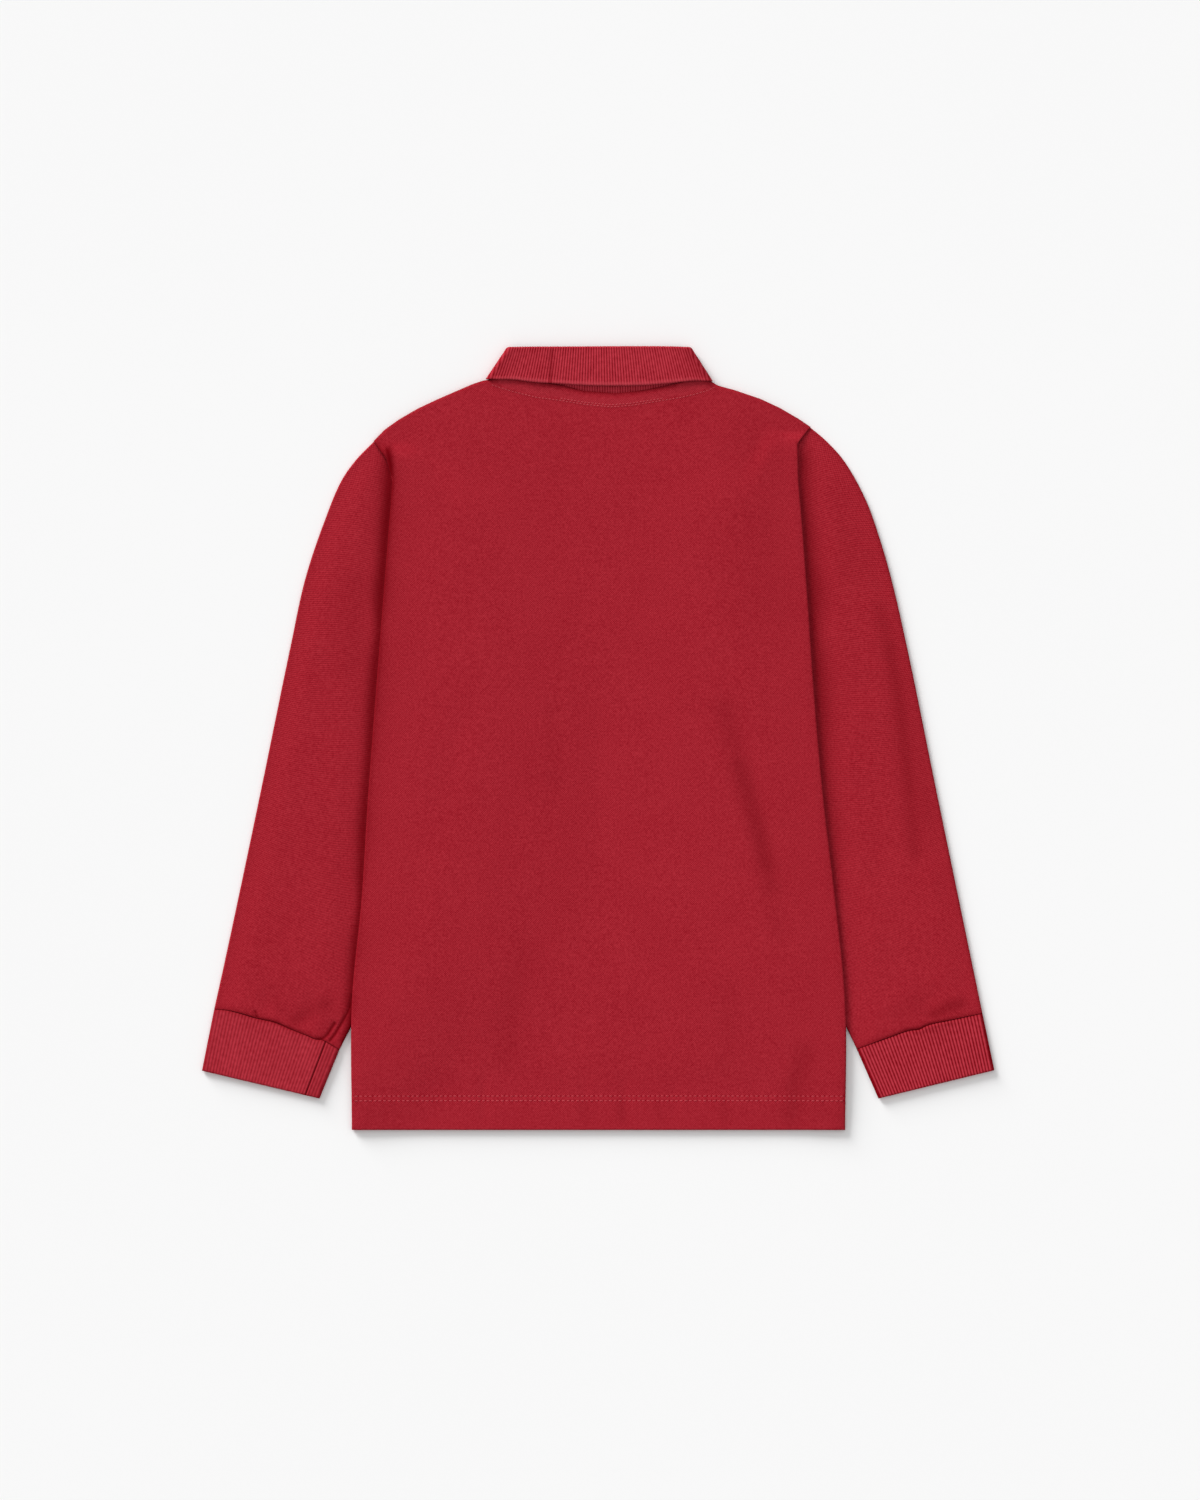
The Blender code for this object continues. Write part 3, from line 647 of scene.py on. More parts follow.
# %% [markdown]
# ## Materials from plain arithmetic
# A knit is a pattern of loops, so its look comes from waves. A small class wraps the
# output of a node, and Python's own signs then join outputs: height * 0.5 + 1 adds the
# Math nodes for us. The patterns read the map named cut, which holds millimetres on
# the flat cloth, so the knit follows a sleeve that lies at a slant.


# %% A node's output that takes part in sums
class Signal:
    """The output of a node, which Python's signs join to numbers and other outputs."""

    def __init__(self, finish, socket):
        self.finish = finish
        self.socket = socket

    def joined(self, operation, *values):
        return self.finish.node("ShaderNodeMath", {"operation": operation}, dict(enumerate(values)))

    def __add__(self, other):
        return self.joined("ADD", self, other)

    def __radd__(self, other):
        return self.joined("ADD", other, self)

    def __sub__(self, other):
        return self.joined("SUBTRACT", self, other)

    def __rsub__(self, other):
        return self.joined("SUBTRACT", other, self)

    def __mul__(self, other):
        return self.joined("MULTIPLY", self, other)

    def __rmul__(self, other):
        return self.joined("MULTIPLY", other, self)

    def __pow__(self, other):
        return self.joined("POWER", self, other)

    def wave(self, period):
        """A wave from 0 at whole periods to 1 half way between them."""
        return 0.5 - 0.5 * self.joined("COSINE", self * (math.tau / period))


class Finish:
    """One material. Values that are the same all over are set on the shader at once."""

    def __init__(self, name, colour, **fixed):
        self.material = bpy.data.materials.new(name)
        self.material.use_nodes = True
        self.material.diffuse_color = (*colour, 1)
        self.tree = self.material.node_tree
        self.shader = self.tree.nodes["Principled BSDF"]
        self.shader.inputs["Base Color"].default_value = (*colour, 1)
        for socket, value in fixed.items():
            self.shader.inputs[socket.replace("_", " ")].default_value = value

    def node(self, kind, settings=None, sockets=None, output=0):
        """Any node: its settings first, then values or links for its sockets."""
        made = self.tree.nodes.new(kind)
        for name, value in (settings or {}).items():
            setattr(made, name, value)
        for name, value in (sockets or {}).items():
            if isinstance(value, Signal):
                self.tree.links.new(value.socket, made.inputs[name])
            else:
                made.inputs[name].default_value = value
        return Signal(self, made.outputs[output])

    def cut(self):
        """Millimetres across and along the flat cloth."""
        place = self.node("ShaderNodeUVMap", {"uv_map": "cut"})
        split = self.node("ShaderNodeSeparateXYZ", None, {0: place})
        return split, Signal(self, split.socket.node.outputs[1])

    def cloud(self, scale, detail=2.0):
        """Uneven patches from 0 to 1, so many to a metre."""
        place = self.node("ShaderNodeTexCoord", None, None, "Object")
        sockets = {"Vector": place, "Scale": scale, "Detail": detail}
        return self.node("ShaderNodeTexNoise", None, sockets)

    def painted(self):
        """The painted shade of a place: how deep in a seam or valley it is, which its mesh holds as shade.
        Below 0 the place is painted paler.
        """
        return self.node("ShaderNodeAttribute", {"attribute_name": "shade"}, None, "Fac")

    def blend(self, amount, first, second):
        """A colour between two, by an amount from 0 to 1."""
        sockets = {0: amount}
        for slot, colour in ((6, first), (7, second)):
            sockets[slot] = colour if isinstance(colour, Signal) else (*colour, 1)
        return self.node("ShaderNodeMix", {"data_type": "RGBA", "clamp_factor": True}, sockets, 2)

    def feed(self, socket, signal):
        self.tree.links.new(signal.socket, self.shader.inputs[socket])

    def raise_by(self, height, distance, strength):
        """A bump of a height signal, whose 1 stands for a distance in metres."""
        sockets = {"Height": height, "Distance": distance, "Strength": strength}
        self.feed("Normal", self.node("ShaderNodeBump", None, sockets))


print("materials are written as sums of signals")

# %% [markdown]
# ## Pique, rib, thread, button and table
# Pique knit has small raised cells in staggered rows, 1.75 mm apart along a row. Two
# crossed waves make them. The cloth is darker between the cells, partly its own knit
# and partly painted shade in the pits, and clouds of several sizes keep the red from
# being too even. A soft sheen stands for the fuzz. Rib knit has ridges with dark troughs
# between, painted as shade over the modelled ridges, and the map of a ribbed piece
# counts its ribs, so the colour and the modelled ridge always agree.
#
# Each cloth mesh holds an attribute named shade. Above 0 it paints shade: the deep red
# of seams, valleys, creases and rims where shadow falls. Below 0 it paints the cloth
# paler: a painted highlight on the raised neck tape, and the paler plain edge of the collar.

# %% Pique
# Pique colours: the pits are partly the knit's own red and partly painted shade.
PIQUE_PITS = (0.226, 0.0, 0.007)
PIQUE_TOPS = (0.470, 0.0315, 0.047)
# Painted shade: the deep red that seams, valleys, creases and rims are painted towards.
PAINTED_SHADE_RED = (0.135, 0.0, 0.0024)
# Painted paler red: a painted highlight on the raised neck tape, and the paler plain edge of the collar.
PAINTED_PALE_RED = (0.480, 0.060, 0.080)
PIQUE_PITCH = 1.75
FUZZ_TINT = (1.0, 0.14, 0.18, 1.0)
FUZZ = {"Sheen_Weight": 0.04, "Sheen_Roughness": 0.5, "Sheen_Tint": FUZZ_TINT, "Specular_IOR_Level": 0.03}
HEM_PITCH = 3.67
HOLE_REACH = 0.8
LOOP_WIDTH = 0.73
LOOP_HEIGHT = 0.55
KNIT_RELIEF = 0.00026


def needle_holes(across, along):
    """Small pits where the needle went through, along the two rows of the hem. The bump presses them in, and
    they are painted darker as shade.
    """
    at_hole = (1 - across.wave(HEM_PITCH)) ** 5
    rows = 0
    for row in (HEM_STITCHES, HEM_STITCHES_LOW):
        off = (along - row) * (1 / HOLE_REACH)
        hump = 1 - off * off
        rows = rows + hump.joined("MAXIMUM", hump, 0)
    return at_hole * rows


def coloured(cloth, knit):
    """Gives a cloth its knit's colour, with painted shade towards the deep red and a painted paler red where
    the shade is below 0.
    """
    shade = cloth.painted()
    pressed = cloth.blend(-1 * shade, knit, PAINTED_PALE_RED)
    cloth.feed("Base Color", cloth.blend(shade, pressed, PAINTED_SHADE_RED))


def pique_finish():
    cloth = Finish("pique", (0.355, 0.018, 0.027), Roughness=0.9, **FUZZ)
    across, along = cloth.cut()
    drift = 1.3 * cloth.cloud(60)
    first = (across + drift).wave(PIQUE_PITCH)
    second = (along - drift).wave(PIQUE_PITCH)
    cells = 1 - first - second + 2 * first * second
    loops = across.wave(LOOP_WIDTH) * along.wave(LOOP_HEIGHT)
    grain = 0.75 * cloth.cloud(640, 1.0) + 0.12 * cloth.cloud(240, 2.0) + 0.14 * cloth.cloud(24, 4.0)
    holes = needle_holes(across, along)
    # The tone is darker in the pits and the needle holes as painted shade, with the knit's loops and grain.
    tone = 0.60 * cells + 0.06 * loops + grain - 0.33 - 0.5 * holes
    coloured(cloth, cloth.blend(tone, PIQUE_PITS, PIQUE_TOPS))
    cloth.feed("Roughness", 0.96 - 0.1 * cells)
    cloth.raise_by(cells + 0.25 * loops + 0.3 * cloth.cloud(700) - holes, KNIT_RELIEF, 0.6)
    return cloth.material


pique = pique_finish()
print("pique nodes:", len(pique.node_tree.nodes))

# %% Rib
# Rib colours: the troughs are painted shade between the ridges.
RIB_TROUGHS = (0.190, 0.0, 0.004)
RIB_TOPS = (0.545, 0.0440, 0.066)
RIB_LOOP = 0.95
RIB_LOOP_RELIEF = 0.00016


def rib_finish(name, contrast):
    cloth = Finish(name, (0.385, 0.022, 0.035), Roughness=0.9, **FUZZ)
    ribs, along = cloth.cut()
    ridge = ribs.wave(1.0)
    loops = (along + 0.35 * ridge).wave(RIB_LOOP)
    grain = 0.5 * cloth.cloud(330, 1.0) + 0.26 * cloth.cloud(38, 4.0)
    # The ridge's tone paints shade into the troughs, and contrast sets how much.
    tone = contrast * (0.64 * ridge**0.8 + 0.14 * loops * ridge) + grain + 0.16 - 0.40 * contrast
    coloured(cloth, cloth.blend(tone, RIB_TROUGHS, RIB_TOPS))
    cloth.feed("Roughness", 0.96 - 0.1 * ridge)
    cloth.raise_by(loops * ridge + 0.3 * cloth.cloud(800), RIB_LOOP_RELIEF, 0.5)
    return cloth.material


rib = rib_finish("rib", 1.0)
# The left cuff's ribs are flatter, so their troughs get less painted shade.
cuff_ribs = {"left": rib_finish("rib_pressed", 0.5), "right": rib_finish("rib_full", 1.2)}
print("rib nodes:", len(rib.node_tree.nodes))


# %% Thread, button plastic and the table
THREAD_REDS = ((0.40, 0.024, 0.036), (0.56, 0.06, 0.08))
BUTTON_REDS = ((0.24, 0.012, 0.02), (0.37, 0.03, 0.04))
TABLE_WHITES = ((0.895, 0.895, 0.895), (0.905, 0.905, 0.905))


def thread_finish():
    yarn = Finish("thread", (0.46, 0.035, 0.05), Roughness=0.7, Sheen_Weight=0.2, Specular_IOR_Level=0.3)
    twist = yarn.cloud(1500)
    yarn.feed("Base Color", yarn.blend(twist, *THREAD_REDS))
    yarn.raise_by(twist, 0.00005, 0.4)
    return yarn.material


def button_finish():
    plastic = Finish("button", (0.30, 0.02, 0.03), Roughness=0.35, Specular_IOR_Level=0.5)
    plastic.feed("Base Color", plastic.blend(plastic.cloud(160, 5.0), *BUTTON_REDS))
    plastic.feed("Roughness", 0.30 + 0.12 * plastic.cloud(500))
    return plastic.material


def table_finish():
    paper = Finish("table", (0.9, 0.9, 0.9), Roughness=0.9, Specular_IOR_Level=0.0)
    paper.feed("Base Color", paper.blend(paper.cloud(3), *TABLE_WHITES))
    return paper.material


thread = thread_finish()
horn = button_finish()
table_top = table_finish()
print("finishes:", [m.name for m in (pique, rib, thread, horn, table_top)])

# %% [markdown]
# ## One way to make every sheet
# Every piece of cloth here is a thin closed shell. It starts as a grid, from a bmesh
# operator. For a sleeve or a cuff, the grid's two sides are bridged, which closes it to
# a tube. Then the whole grid is extruded, which gives the second face and the cut
# edges. Last, a function moves each point to its place. The two faces have the same
# points, so the wall can't cross itself.


# %% Grid, tube and second face
def woven(across, along, closed=False, keep=None):
    """A sheet of cloth as a bmesh, whose points hold share across, share along and face."""
    cloth = bmesh.new()
    columns, rows = len(across) - 1, len(along) - 1
    bmesh.ops.create_grid(cloth, x_segments=columns, y_segments=rows, size=1)
    for vertex in cloth.verts:
        column = round((vertex.co.x + 1) / 2 * columns)
        row = round((vertex.co.y + 1) / 2 * rows)
        vertex.co = (across[column], along[row], 0)
    if keep:
        cut = [face for face in cloth.faces if not keep(*face.calc_center_median().xy)]
        bmesh.ops.delete(cloth, geom=cut, context="FACES")
    if closed:
        rims = [e for e in cloth.edges if e.is_boundary and e.verts[0].co.x == e.verts[1].co.x]
        bmesh.ops.bridge_loops(cloth, edges=rims)
    raised = bmesh.ops.extrude_face_region(cloth, geom=cloth.faces[:])["geom"]
    for element in raised:
        if isinstance(element, bmesh.types.BMVert):
            element.co.z = 1
    return cloth


def linked(name, mesh, finish):
    """An object for a mesh, riding on the shirt."""
    mesh.materials.append(finish)
    piece = bpy.data.objects.new(name, mesh)
    bpy.context.scene.collection.objects.link(piece)
    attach(piece, "root")
    return piece


def shaped(name, cloth, shape, pattern, finish, period=None, shade=None):
    """Moves each point of a woven sheet to its place, and writes the map named cut. A
    shade function gives each point of the face its painted shade, which is how deep in a seam
    or valley it is, or below 0 how much paler it is painted."""
    cloth.verts.index_update()
    shares = np.array([vertex.co for vertex in cloth.verts])
    spots = shape(*shares.T) * MM
    for vertex, spot in zip(cloth.verts, spots):
        vertex.co = spot
    bmesh.ops.recalc_face_normals(cloth, faces=cloth.faces)
    mesh = bpy.data.meshes.new(name)
    cloth.to_mesh(mesh)
    cloth.free()
    corners = np.empty(len(mesh.loops), np.int32)
    mesh.loops.foreach_get("vertex_index", corners)
    across, along = shares[corners, 0].reshape(-1, 4), shares[corners, 1].reshape(-1, 4)
    if period:
        joins = np.ptp(across, axis=1) > period / 2
        across[joins] += np.where(across[joins] < period / 2, period, 0)
    flat = np.stack(pattern(across.ravel(), along.ravel()), axis=1)
    mesh.uv_layers.new(name="cut").data.foreach_set("uv", flat.ravel().astype(np.float32))
    if shade:
        deep = np.clip(shade(*shares.T, *(spots.T / MM)), -1, 1).astype(np.float32)
        mesh.attributes.new("shade", "FLOAT", "POINT").data.foreach_set("value", deep)
    mesh.shade_smooth()
    lowest, highest = np.round(spots.min(0) / MM, 1), np.round(spots.max(0) / MM, 1)
    print(name, "has", len(mesh.polygons) * 2, "triangles, box in mm", lowest, highest)
    return linked(name, mesh, finish)


def even_shares(edge, count):
    """Shares from 0 to 1: fine ones at both ends and even steps between."""
    ends = np.array(edge[:-1])
    return np.concatenate([ends, np.linspace(edge[-1], 1 - edge[-1], count), 1 - ends[::-1]])


print("every sheet is a grid, then a closed shell")

# %% [markdown]
# ## The back panel
# The back is the largest piece, cut about 385 mm wide and 583 mm long. Its side edges
# roll over where they meet the front. The hem is turned up once and held by two rows
# of stitches, so the cloth is thicker below them. Where the sleeves lie under it, the
# panel stands higher and comes down again in a long soft slope.


# %% Edges of the two body panels
def across_top(share):
    """X along the shoulders: the middle of the sheet is the middle of the neck."""
    left, right = SHOULDERS[0][0], SHOULDERS[-1][0]
    straight_x = left + (right - left) * share
    return straight_x + 4 * share * (1 - share) * (NECK_MIDDLE - (left + right) / 2)


def body_edge(side, tip_y):
    """A side edge of the body: up the side, then along the seam of the armhole, where it
    laps over the sleeve."""
    lap = -SEAM_LAP if side == "left" else SEAM_LAP
    rows = [(getattr(row, side), row.y) for row in BODY_SIDES]
    seam = [(x + lap, y) for x, y in reversed(SLEEVES[side]["armhole"][1:3])]
    tip = (SLEEVES[side]["armhole"][0][0] + lap / 2, tip_y)
    line = curve(rows)
    seam_line = np.array([rows[-1], *seam, tip])

    def at(share):
        share = np.asarray(share, float)
        steps = np.clip((share - SEAM_FROM) / (1 - SEAM_FROM), 0, 1)
        spots = np.linspace(0, 1, len(seam_line))
        top = np.stack([np.interp(steps, spots, seam_line[:, i]) for i in (0, 1)], axis=-1)
        return np.where((share <= SEAM_FROM)[..., None], line(np.minimum(share / SEAM_FROM, 1)), top)

    return at


def body_patch(top_height):
    def bottom(share):
        share = np.asarray(share, float)
        first = BODY_SIDES[0]
        return np.stack([first.left + (first.right - first.left) * share, first.y + 0 * share], axis=-1)

    def top(share):
        x = across_top(np.asarray(share, float))
        return np.stack([x, top_height(x)], axis=-1)

    return patch(bottom, top, body_edge("left", SHOULDERS[0][1]), body_edge("right", SHOULDERS[-1][1]))


def back_height(x):
    return height_on(SHOULDERS, x)


def front_height(x):
    """The top edge of the front: the shoulders, with the deeper neckline cut in."""
    neck = height_on(FRONT_NECK, np.minimum(x, MIRROR - x))
    return np.where((x > NECK_LEFT) & (x < NECK_RIGHT), neck, back_height(x))


BACK_PLACE = body_patch(back_height)
FRONT_PLACE = body_patch(front_height)
print("corners of the back, mm:", np.round(BACK_PLACE([0, 1, 0, 1], [0, 0, 1, 1]), 1).tolist())


# %% The back panel
def apart(a, b):
    return np.linalg.norm(a - b, axis=-1)


def panel_edges(place, across, along):
    """Distances to the nearer side edge, to the shoulder and to the hem. The shoulder is
    infinitely far for what lies below the neck opening."""
    spot = place(across, along)
    side = np.minimum(apart(spot, place(0 * across, along)), apart(spot, place(0 * across + 1, along)))
    x = across_top(across)
    on_shoulder = (x < NECK_LEFT) | (x > NECK_RIGHT)
    top = np.where(on_shoulder, apart(spot, place(across, 0 * along + 1)), np.inf)
    return side, top, spot[..., 1] - HEM_Y


EDGE_ROLL = 1.6
EDGE_DROP = 1.0
EDGE_SINK = 0.35
EDGE_SINK_REACH = 7.0
NECK_SINK = 0.35
NECK_SINK_REACH = 2.2
ARMHOLE_FOOT = 214.0


def back_shape(across, along, face):
    """The back panel's places. Its edges roll over and sink, but hardly where the armhole
    is sewn to the sleeve, and a groove runs along the neck seam."""
    x, y = BACK_PLACE(across, along).T
    side, top, hem = panel_edges(BACK_PLACE, across, along)
    inside = np.minimum(side, top)
    sunk = EDGE_SINK * (1 - smooth(side / EDGE_SINK_REACH))
    neck = NECK_SINK * np.exp(-(((back_height(x) - y) / NECK_SINK_REACH) ** 2)) * np.isinf(top)
    under = back_under(x, y) - np.maximum(0.3 * (1 - smooth(inside / 2.5)), sunk)
    sewn_on = 1 - 0.75 * smooth((y - ARMHOLE_FOOT) / 8)
    turned = np.maximum(rounded(side, EDGE_ROLL, EDGE_DROP) * sewn_on, rounded(top, EDGE_ROLL, EDGE_DROP))
    upper = back_top(x, y) - sunk * sewn_on - turned - rounded(hem, 1.2, 0.5)
    return np.stack([x, y, np.where(face > 0.5, upper - neck, under)], axis=1)


def uneven(y, size, seed):
    """A factor that wanders round 1 along an edge."""
    return 1 + 0.35 * ripple(0 * y, y, size, seed)


NECK_STITCHES = [
    (-84.0, 275.6),
    (-67.1, 270.3),
    (-47.6, 265.6),
    (-30.4, 263.5),
    (-12.5, 260.5),
    (8.6, 258.3),
    (24.2, 259.4),
    (37.4, 261.5),
    (49.9, 263.5),
    (63.2, 265.6),
    (74.9, 268.3),
    (84.2, 271.1),
    (91.8, 274.2),
]
# Heights between which the painted shade beside the edges reaches, and half widths of the neck tape's
# painted highlight and of the painted stitch line.
VALLEY_FOOT = -226.0
VALLEY_TOP = 238.0
TAPE_HALF = 92.0
NECK_ROW_HALF = 84.0
Valley = namedtuple("Valley", "y strength reach")
# Painted shade beside each side edge of the body: height, strength and reach in mm.
BODY_VALLEY_SHADES = {
    "left": [
        Valley(-220, 0.50, 3.2),
        Valley(-87, 0.60, 3.6),
        Valley(69, 0.80, 5.0),
        Valley(190, 0.92, 4.4),
        Valley(226, 0.92, 3.4),
    ],
    "right": [Valley(-220, 0.15, 0.9), Valley(-87, 0.20, 1.3), Valley(69, 0.25, 0.9)],
}


def valley_at(table, y):
    """Strength and reach of the painted shade beside an edge, along the edge."""
    rows = np.array(table)
    return np.interp(y, rows[:, 0], rows[:, 1]), np.interp(y, rows[:, 0], rows[:, 2]) * uneven(y, 40, 2.6)


def deepest(*shades):
    """The strongest of several shades at each place."""
    return np.maximum.reduce(np.broadcast_arrays(*shades))


def back_shade(across, along, face, x, y, z):
    """Painted shade beside the body's edges, on its rims, in the neck seam, along the neck stitches and
    along creases, and a painted highlight on the raised neck tape.
    """
    side, top, hem = panel_edges(BACK_PLACE, across, along)
    valley = np.zeros(np.shape(x))
    for name, way in (("left", -1), ("right", 1)):
        strength, reach = valley_at(BODY_VALLEY_SHADES[name], y)
        here = strength * np.exp(-side / reach)
        here = here * smooth((y - VALLEY_FOOT) / 16) * smooth((VALLEY_TOP - y) / 12)
        valley = np.where(x * way > 0, here, valley)
    # Painted shade on the rounded shoulder and side rims, and in the neck seam under the collar's fall.
    shoulder_rim_shade, side_rim_shade = 0.62 * np.exp(-top / 1.3), 0.25 * np.exp(-side / 1.2)
    neck = 0.85 * np.exp(-(back_height(x) - y) / 1.3) * np.isinf(top) * smooth((72 - np.abs(x)) / 28)
    stitched = y - height_on(NECK_STITCHES, x)
    # Painted highlight: the raised neck tape is painted paler between its stitches and the neck.
    tape_highlight = -0.10 * smooth(stitched / 1.5) * (np.abs(x) < TAPE_HALF)
    # Painted shade along the neck's row of stitches.
    line = 0.22 * np.exp(-((stitched / 0.9) ** 2)) * (np.abs(x) < NECK_ROW_HALF)
    deep = deepest(valley, shoulder_rim_shade, side_rim_shade, neck, line, drawn(BODY_SHADED_LINES, x, y))
    return np.where(deep > 0.05, deep, deep + tape_highlight) * face


def flat_as(place):
    """The map of a body panel: millimetres on the cloth as it lies."""
    return lambda across, along: place(across, along).T


fine = [0.0, 0.0008, 0.002, 0.0035, 0.0055, 0.009]
body_columns = even_shares(fine, 146)
body_rows = np.concatenate([[0, 0.0007, 0.0016, 0.003], np.linspace(0.005, SEAM_FROM, 212)])
body_rows = np.concatenate([body_rows, SEAM_FROM + (1 - SEAM_FROM) * np.linspace(0, 1, 13)[1:-1]])
body_rows = np.concatenate([body_rows, [0.9983, 1.0]])
back_cloth = woven(body_columns, body_rows)
back_panel = shaped("back", back_cloth, back_shape, flat_as(BACK_PLACE), pique, shade=back_shade)
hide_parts("back_panel")

# %% [markdown]
# ## The front panel
# The front lies under the back and rests on the table. It is seen only from below and
# as a thin edge from the side, so a coarser grid is enough. A slit is left for the
# placket, whose columns are at the slit's two edges.


# %% The front panel
def share_across(x):
    """The share across the sheet at which its top edge reaches x."""
    shares = np.linspace(0, 1, 2001)
    return float(np.interp(x, across_top(shares), shares))


SLIT_LEFT = share_across(NECK_MIDDLE - half)
SLIT_RIGHT = share_across(NECK_MIDDLE + half)
PLACKET_FROM = SEAM_FROM * 14 / 18


def on_front(across, along, face, wall, lift):
    """Places on the front, for cloth of a wall's thickness whose underside is lifted."""
    x, y = FRONT_PLACE(across, along).T
    under = front_under(x, y)
    return np.stack([x, y, under + np.where(face > 0.5, wall, lift)], axis=1)


def front_shape(across, along, face):
    side, top, hem = panel_edges(FRONT_PLACE, across, along)
    return on_front(across, along, face, CLOTH, rounded(np.minimum(side, top), EDGE_ROLL, EDGE_DROP))


def beside_slit(across, along):
    return not (SLIT_LEFT < across < SLIT_RIGHT and along > PLACKET_FROM)


left_part = np.linspace(fine[-1], SLIT_LEFT, 42)[1:]
right_part = np.linspace(SLIT_RIGHT, 1 - fine[-1], 42)[:-1]
inner = np.linspace(SLIT_LEFT, SLIT_RIGHT, 10)[1:-1]
front_columns = np.concatenate([fine, left_part, inner, right_part, 1 - np.array(fine)[::-1]])
front_rows = np.concatenate([np.linspace(0, PLACKET_FROM, 100), np.linspace(PLACKET_FROM, 1, 34)[1:]])
front_cloth = woven(front_columns, front_rows, keep=beside_slit)
front_panel = shaped("front", front_cloth, front_shape, flat_as(FRONT_PLACE), pique)
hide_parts("front_panel")

# %% [markdown]
# ## The placket
# The placket is the double strip down the middle of the front, with the buttonholes.
# It is buttoned up, so one closed strip with rounded long edges shows all that can be
# seen.

# %% The placket
PLACKET_START = PLACKET_FROM + 0.0006


def placket_shape(across, along, face):
    gap = SEAM_GAP / PLACKET_WIDTH
    share = SLIT_LEFT + (SLIT_RIGHT - SLIT_LEFT) * (gap + across * (1 - 2 * gap))
    edge = np.minimum(across, 1 - across) * PLACKET_WIDTH
    up = PLACKET_START + along * (1 - PLACKET_START)
    return on_front(share, up, face, PLACKET_CLOTH, rounded(edge, 0.9, 0.4))


def placket_pattern(across, along):
    return across * PLACKET_WIDTH, along * PLACKET_LENGTH


placket_cloth = woven(even_shares([0.0, 0.015, 0.035], 12), np.linspace(0, 1, 50))
placket = shaped("placket_strip", placket_cloth, placket_shape, placket_pattern, pique)
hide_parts("placket")

# %% [markdown]
# ## The sleeves
# A sleeve is a tube that lies flat. Going round it, the points run over the top, down
# round one edge, back underneath and up round the other edge. Each sleeve sinks
# towards the body's edge, and the dark valley there is partly this hollow and partly
# painted shade. It is drawn in a little where it meets the cuff.

# %% Going round a flat tube
Ring = namedtuple("Ring", "share inset height")


def flat_ring(shares, turns=4):
    """Places round a flattened tube, as three arrays."""
    angles = np.pi * np.arange(2 * turns + 1) / (2 * turns)
    bend, drop = 1 - np.sin(angles), (1 + np.cos(angles)) / 2
    ones, corner = np.ones(len(shares)), np.ones(len(angles))
    share = np.concatenate([shares, corner, shares[::-1], 0 * corner])
    inset = np.concatenate([ones, bend, ones, bend])
    height = np.concatenate([ones, drop, 0 * ones, drop[::-1]])
    return Ring(share, inset, height)


def width_at(place, along):
    """How wide a flat tube is at stations along it."""
    return apart(place(0 * along + 1, along), place(0 * along, along))


def tube_spots(place, ring, index, along, face, height_of, wall):
    """Places of a flat tube's points. The inner face is a wall's thickness inside."""
    share, inset, height = (part[index.astype(int)] for part in ring)
    width = width_at(place, along)
    full = height_of(place(share, along), share * width)
    within = wall * (1 - face)
    radius = (full - 2 * within) / 2
    least = (within + radius * inset) / width
    spot = place(least + share * (1 - 2 * least), along)
    return spot, within + height * (full - 2 * within), height


print("a ring of four places has", len(flat_ring(np.linspace(0.1, 0.9, 4)).share), "points")


# %% The sleeves
def sleeve_place(side):
    edges = {name: curve(points) for name, points in SLEEVES[side].items()}
    return patch(edges["armhole"], edges["cuff_seam"], edges["outer"], edges["underarm"])


def bare_at(side, x, y):
    """How far a place on a sleeve is out from under the body's edge."""
    return (edge_at(y, side) - x) * (1 if side == "left" else -1)


def sleeve_top(side, x, y, from_edge):
    """The upper face of a sleeve, pressed flat where the body lies on it."""
    bare = bare_at(side, x, y)
    puffed = PUFF * smooth((bare - 2) / 26) * smooth(from_edge / 20)
    creases = np.minimum(folded(SLEEVE_FOLDS, x, y), 0.7 * puffed + 0.25)
    soft = 0.16 * smooth((bare - 6) / 20) * (ripple(x, y, 45, 5.7) + 0.5 * ripple(x, y, 18, 2.4))
    sunk = 0.45 * np.exp(-(((bare - 1) / 5) ** 2)) * smooth((200 - y) / 20)
    return SLEEVE_HEIGHT + puffed - creases + soft - sunk


# Painted shade beside the body's edge on each sleeve: height, strength and reach in mm.
SLEEVE_VALLEY_SHADES = {
    "left": [
        Valley(-220, 0.95, 5.6),
        Valley(69, 0.95, 6.0),
        Valley(170, 1.0, 8.0),
        Valley(200, 1.0, 8.8),
        Valley(230, 1.0, 6.0),
    ],
    "right": [
        Valley(-220, 0.10, 3.0),
        Valley(-150, 0.20, 5.0),
        Valley(-87, 0.38, 7.5),
        Valley(30, 0.62, 10.5),
        Valley(100, 0.66, 11.0),
        Valley(225, 0.62, 8.5),
    ],
}
# The painted shade is weaker right at the body's edge, where the cast shadow already falls.
LIT_EDGE = {"left": 0.3, "right": 0.75}
SEWN_CREASES = 3
CREASE_DEPTH = 0.5
SHADED_FROM = 0.8


def sleeve_shade(side, x, y):
    """Painted shade on a sleeve beside the body's edge, and in its seams and creases."""
    strength, reach = valley_at(SLEEVE_VALLEY_SHADES[side], y)
    bare = np.maximum(bare_at(side, x, y), 0)
    valley = strength * np.exp(-((bare / reach) ** 2)) * smooth((232 - y) / 16)
    valley = valley * (1 - LIT_EDGE[side] * np.exp(-bare / 1.2))
    return np.maximum(valley, drawn(SLEEVE_SHADED_LINES[side], x, y))


def round_edge(share, width, reach):
    """1 at the two long edges of a flat tube, and less within a reach of them."""
    return np.exp(-np.minimum(share, 1 - share) * width / reach)


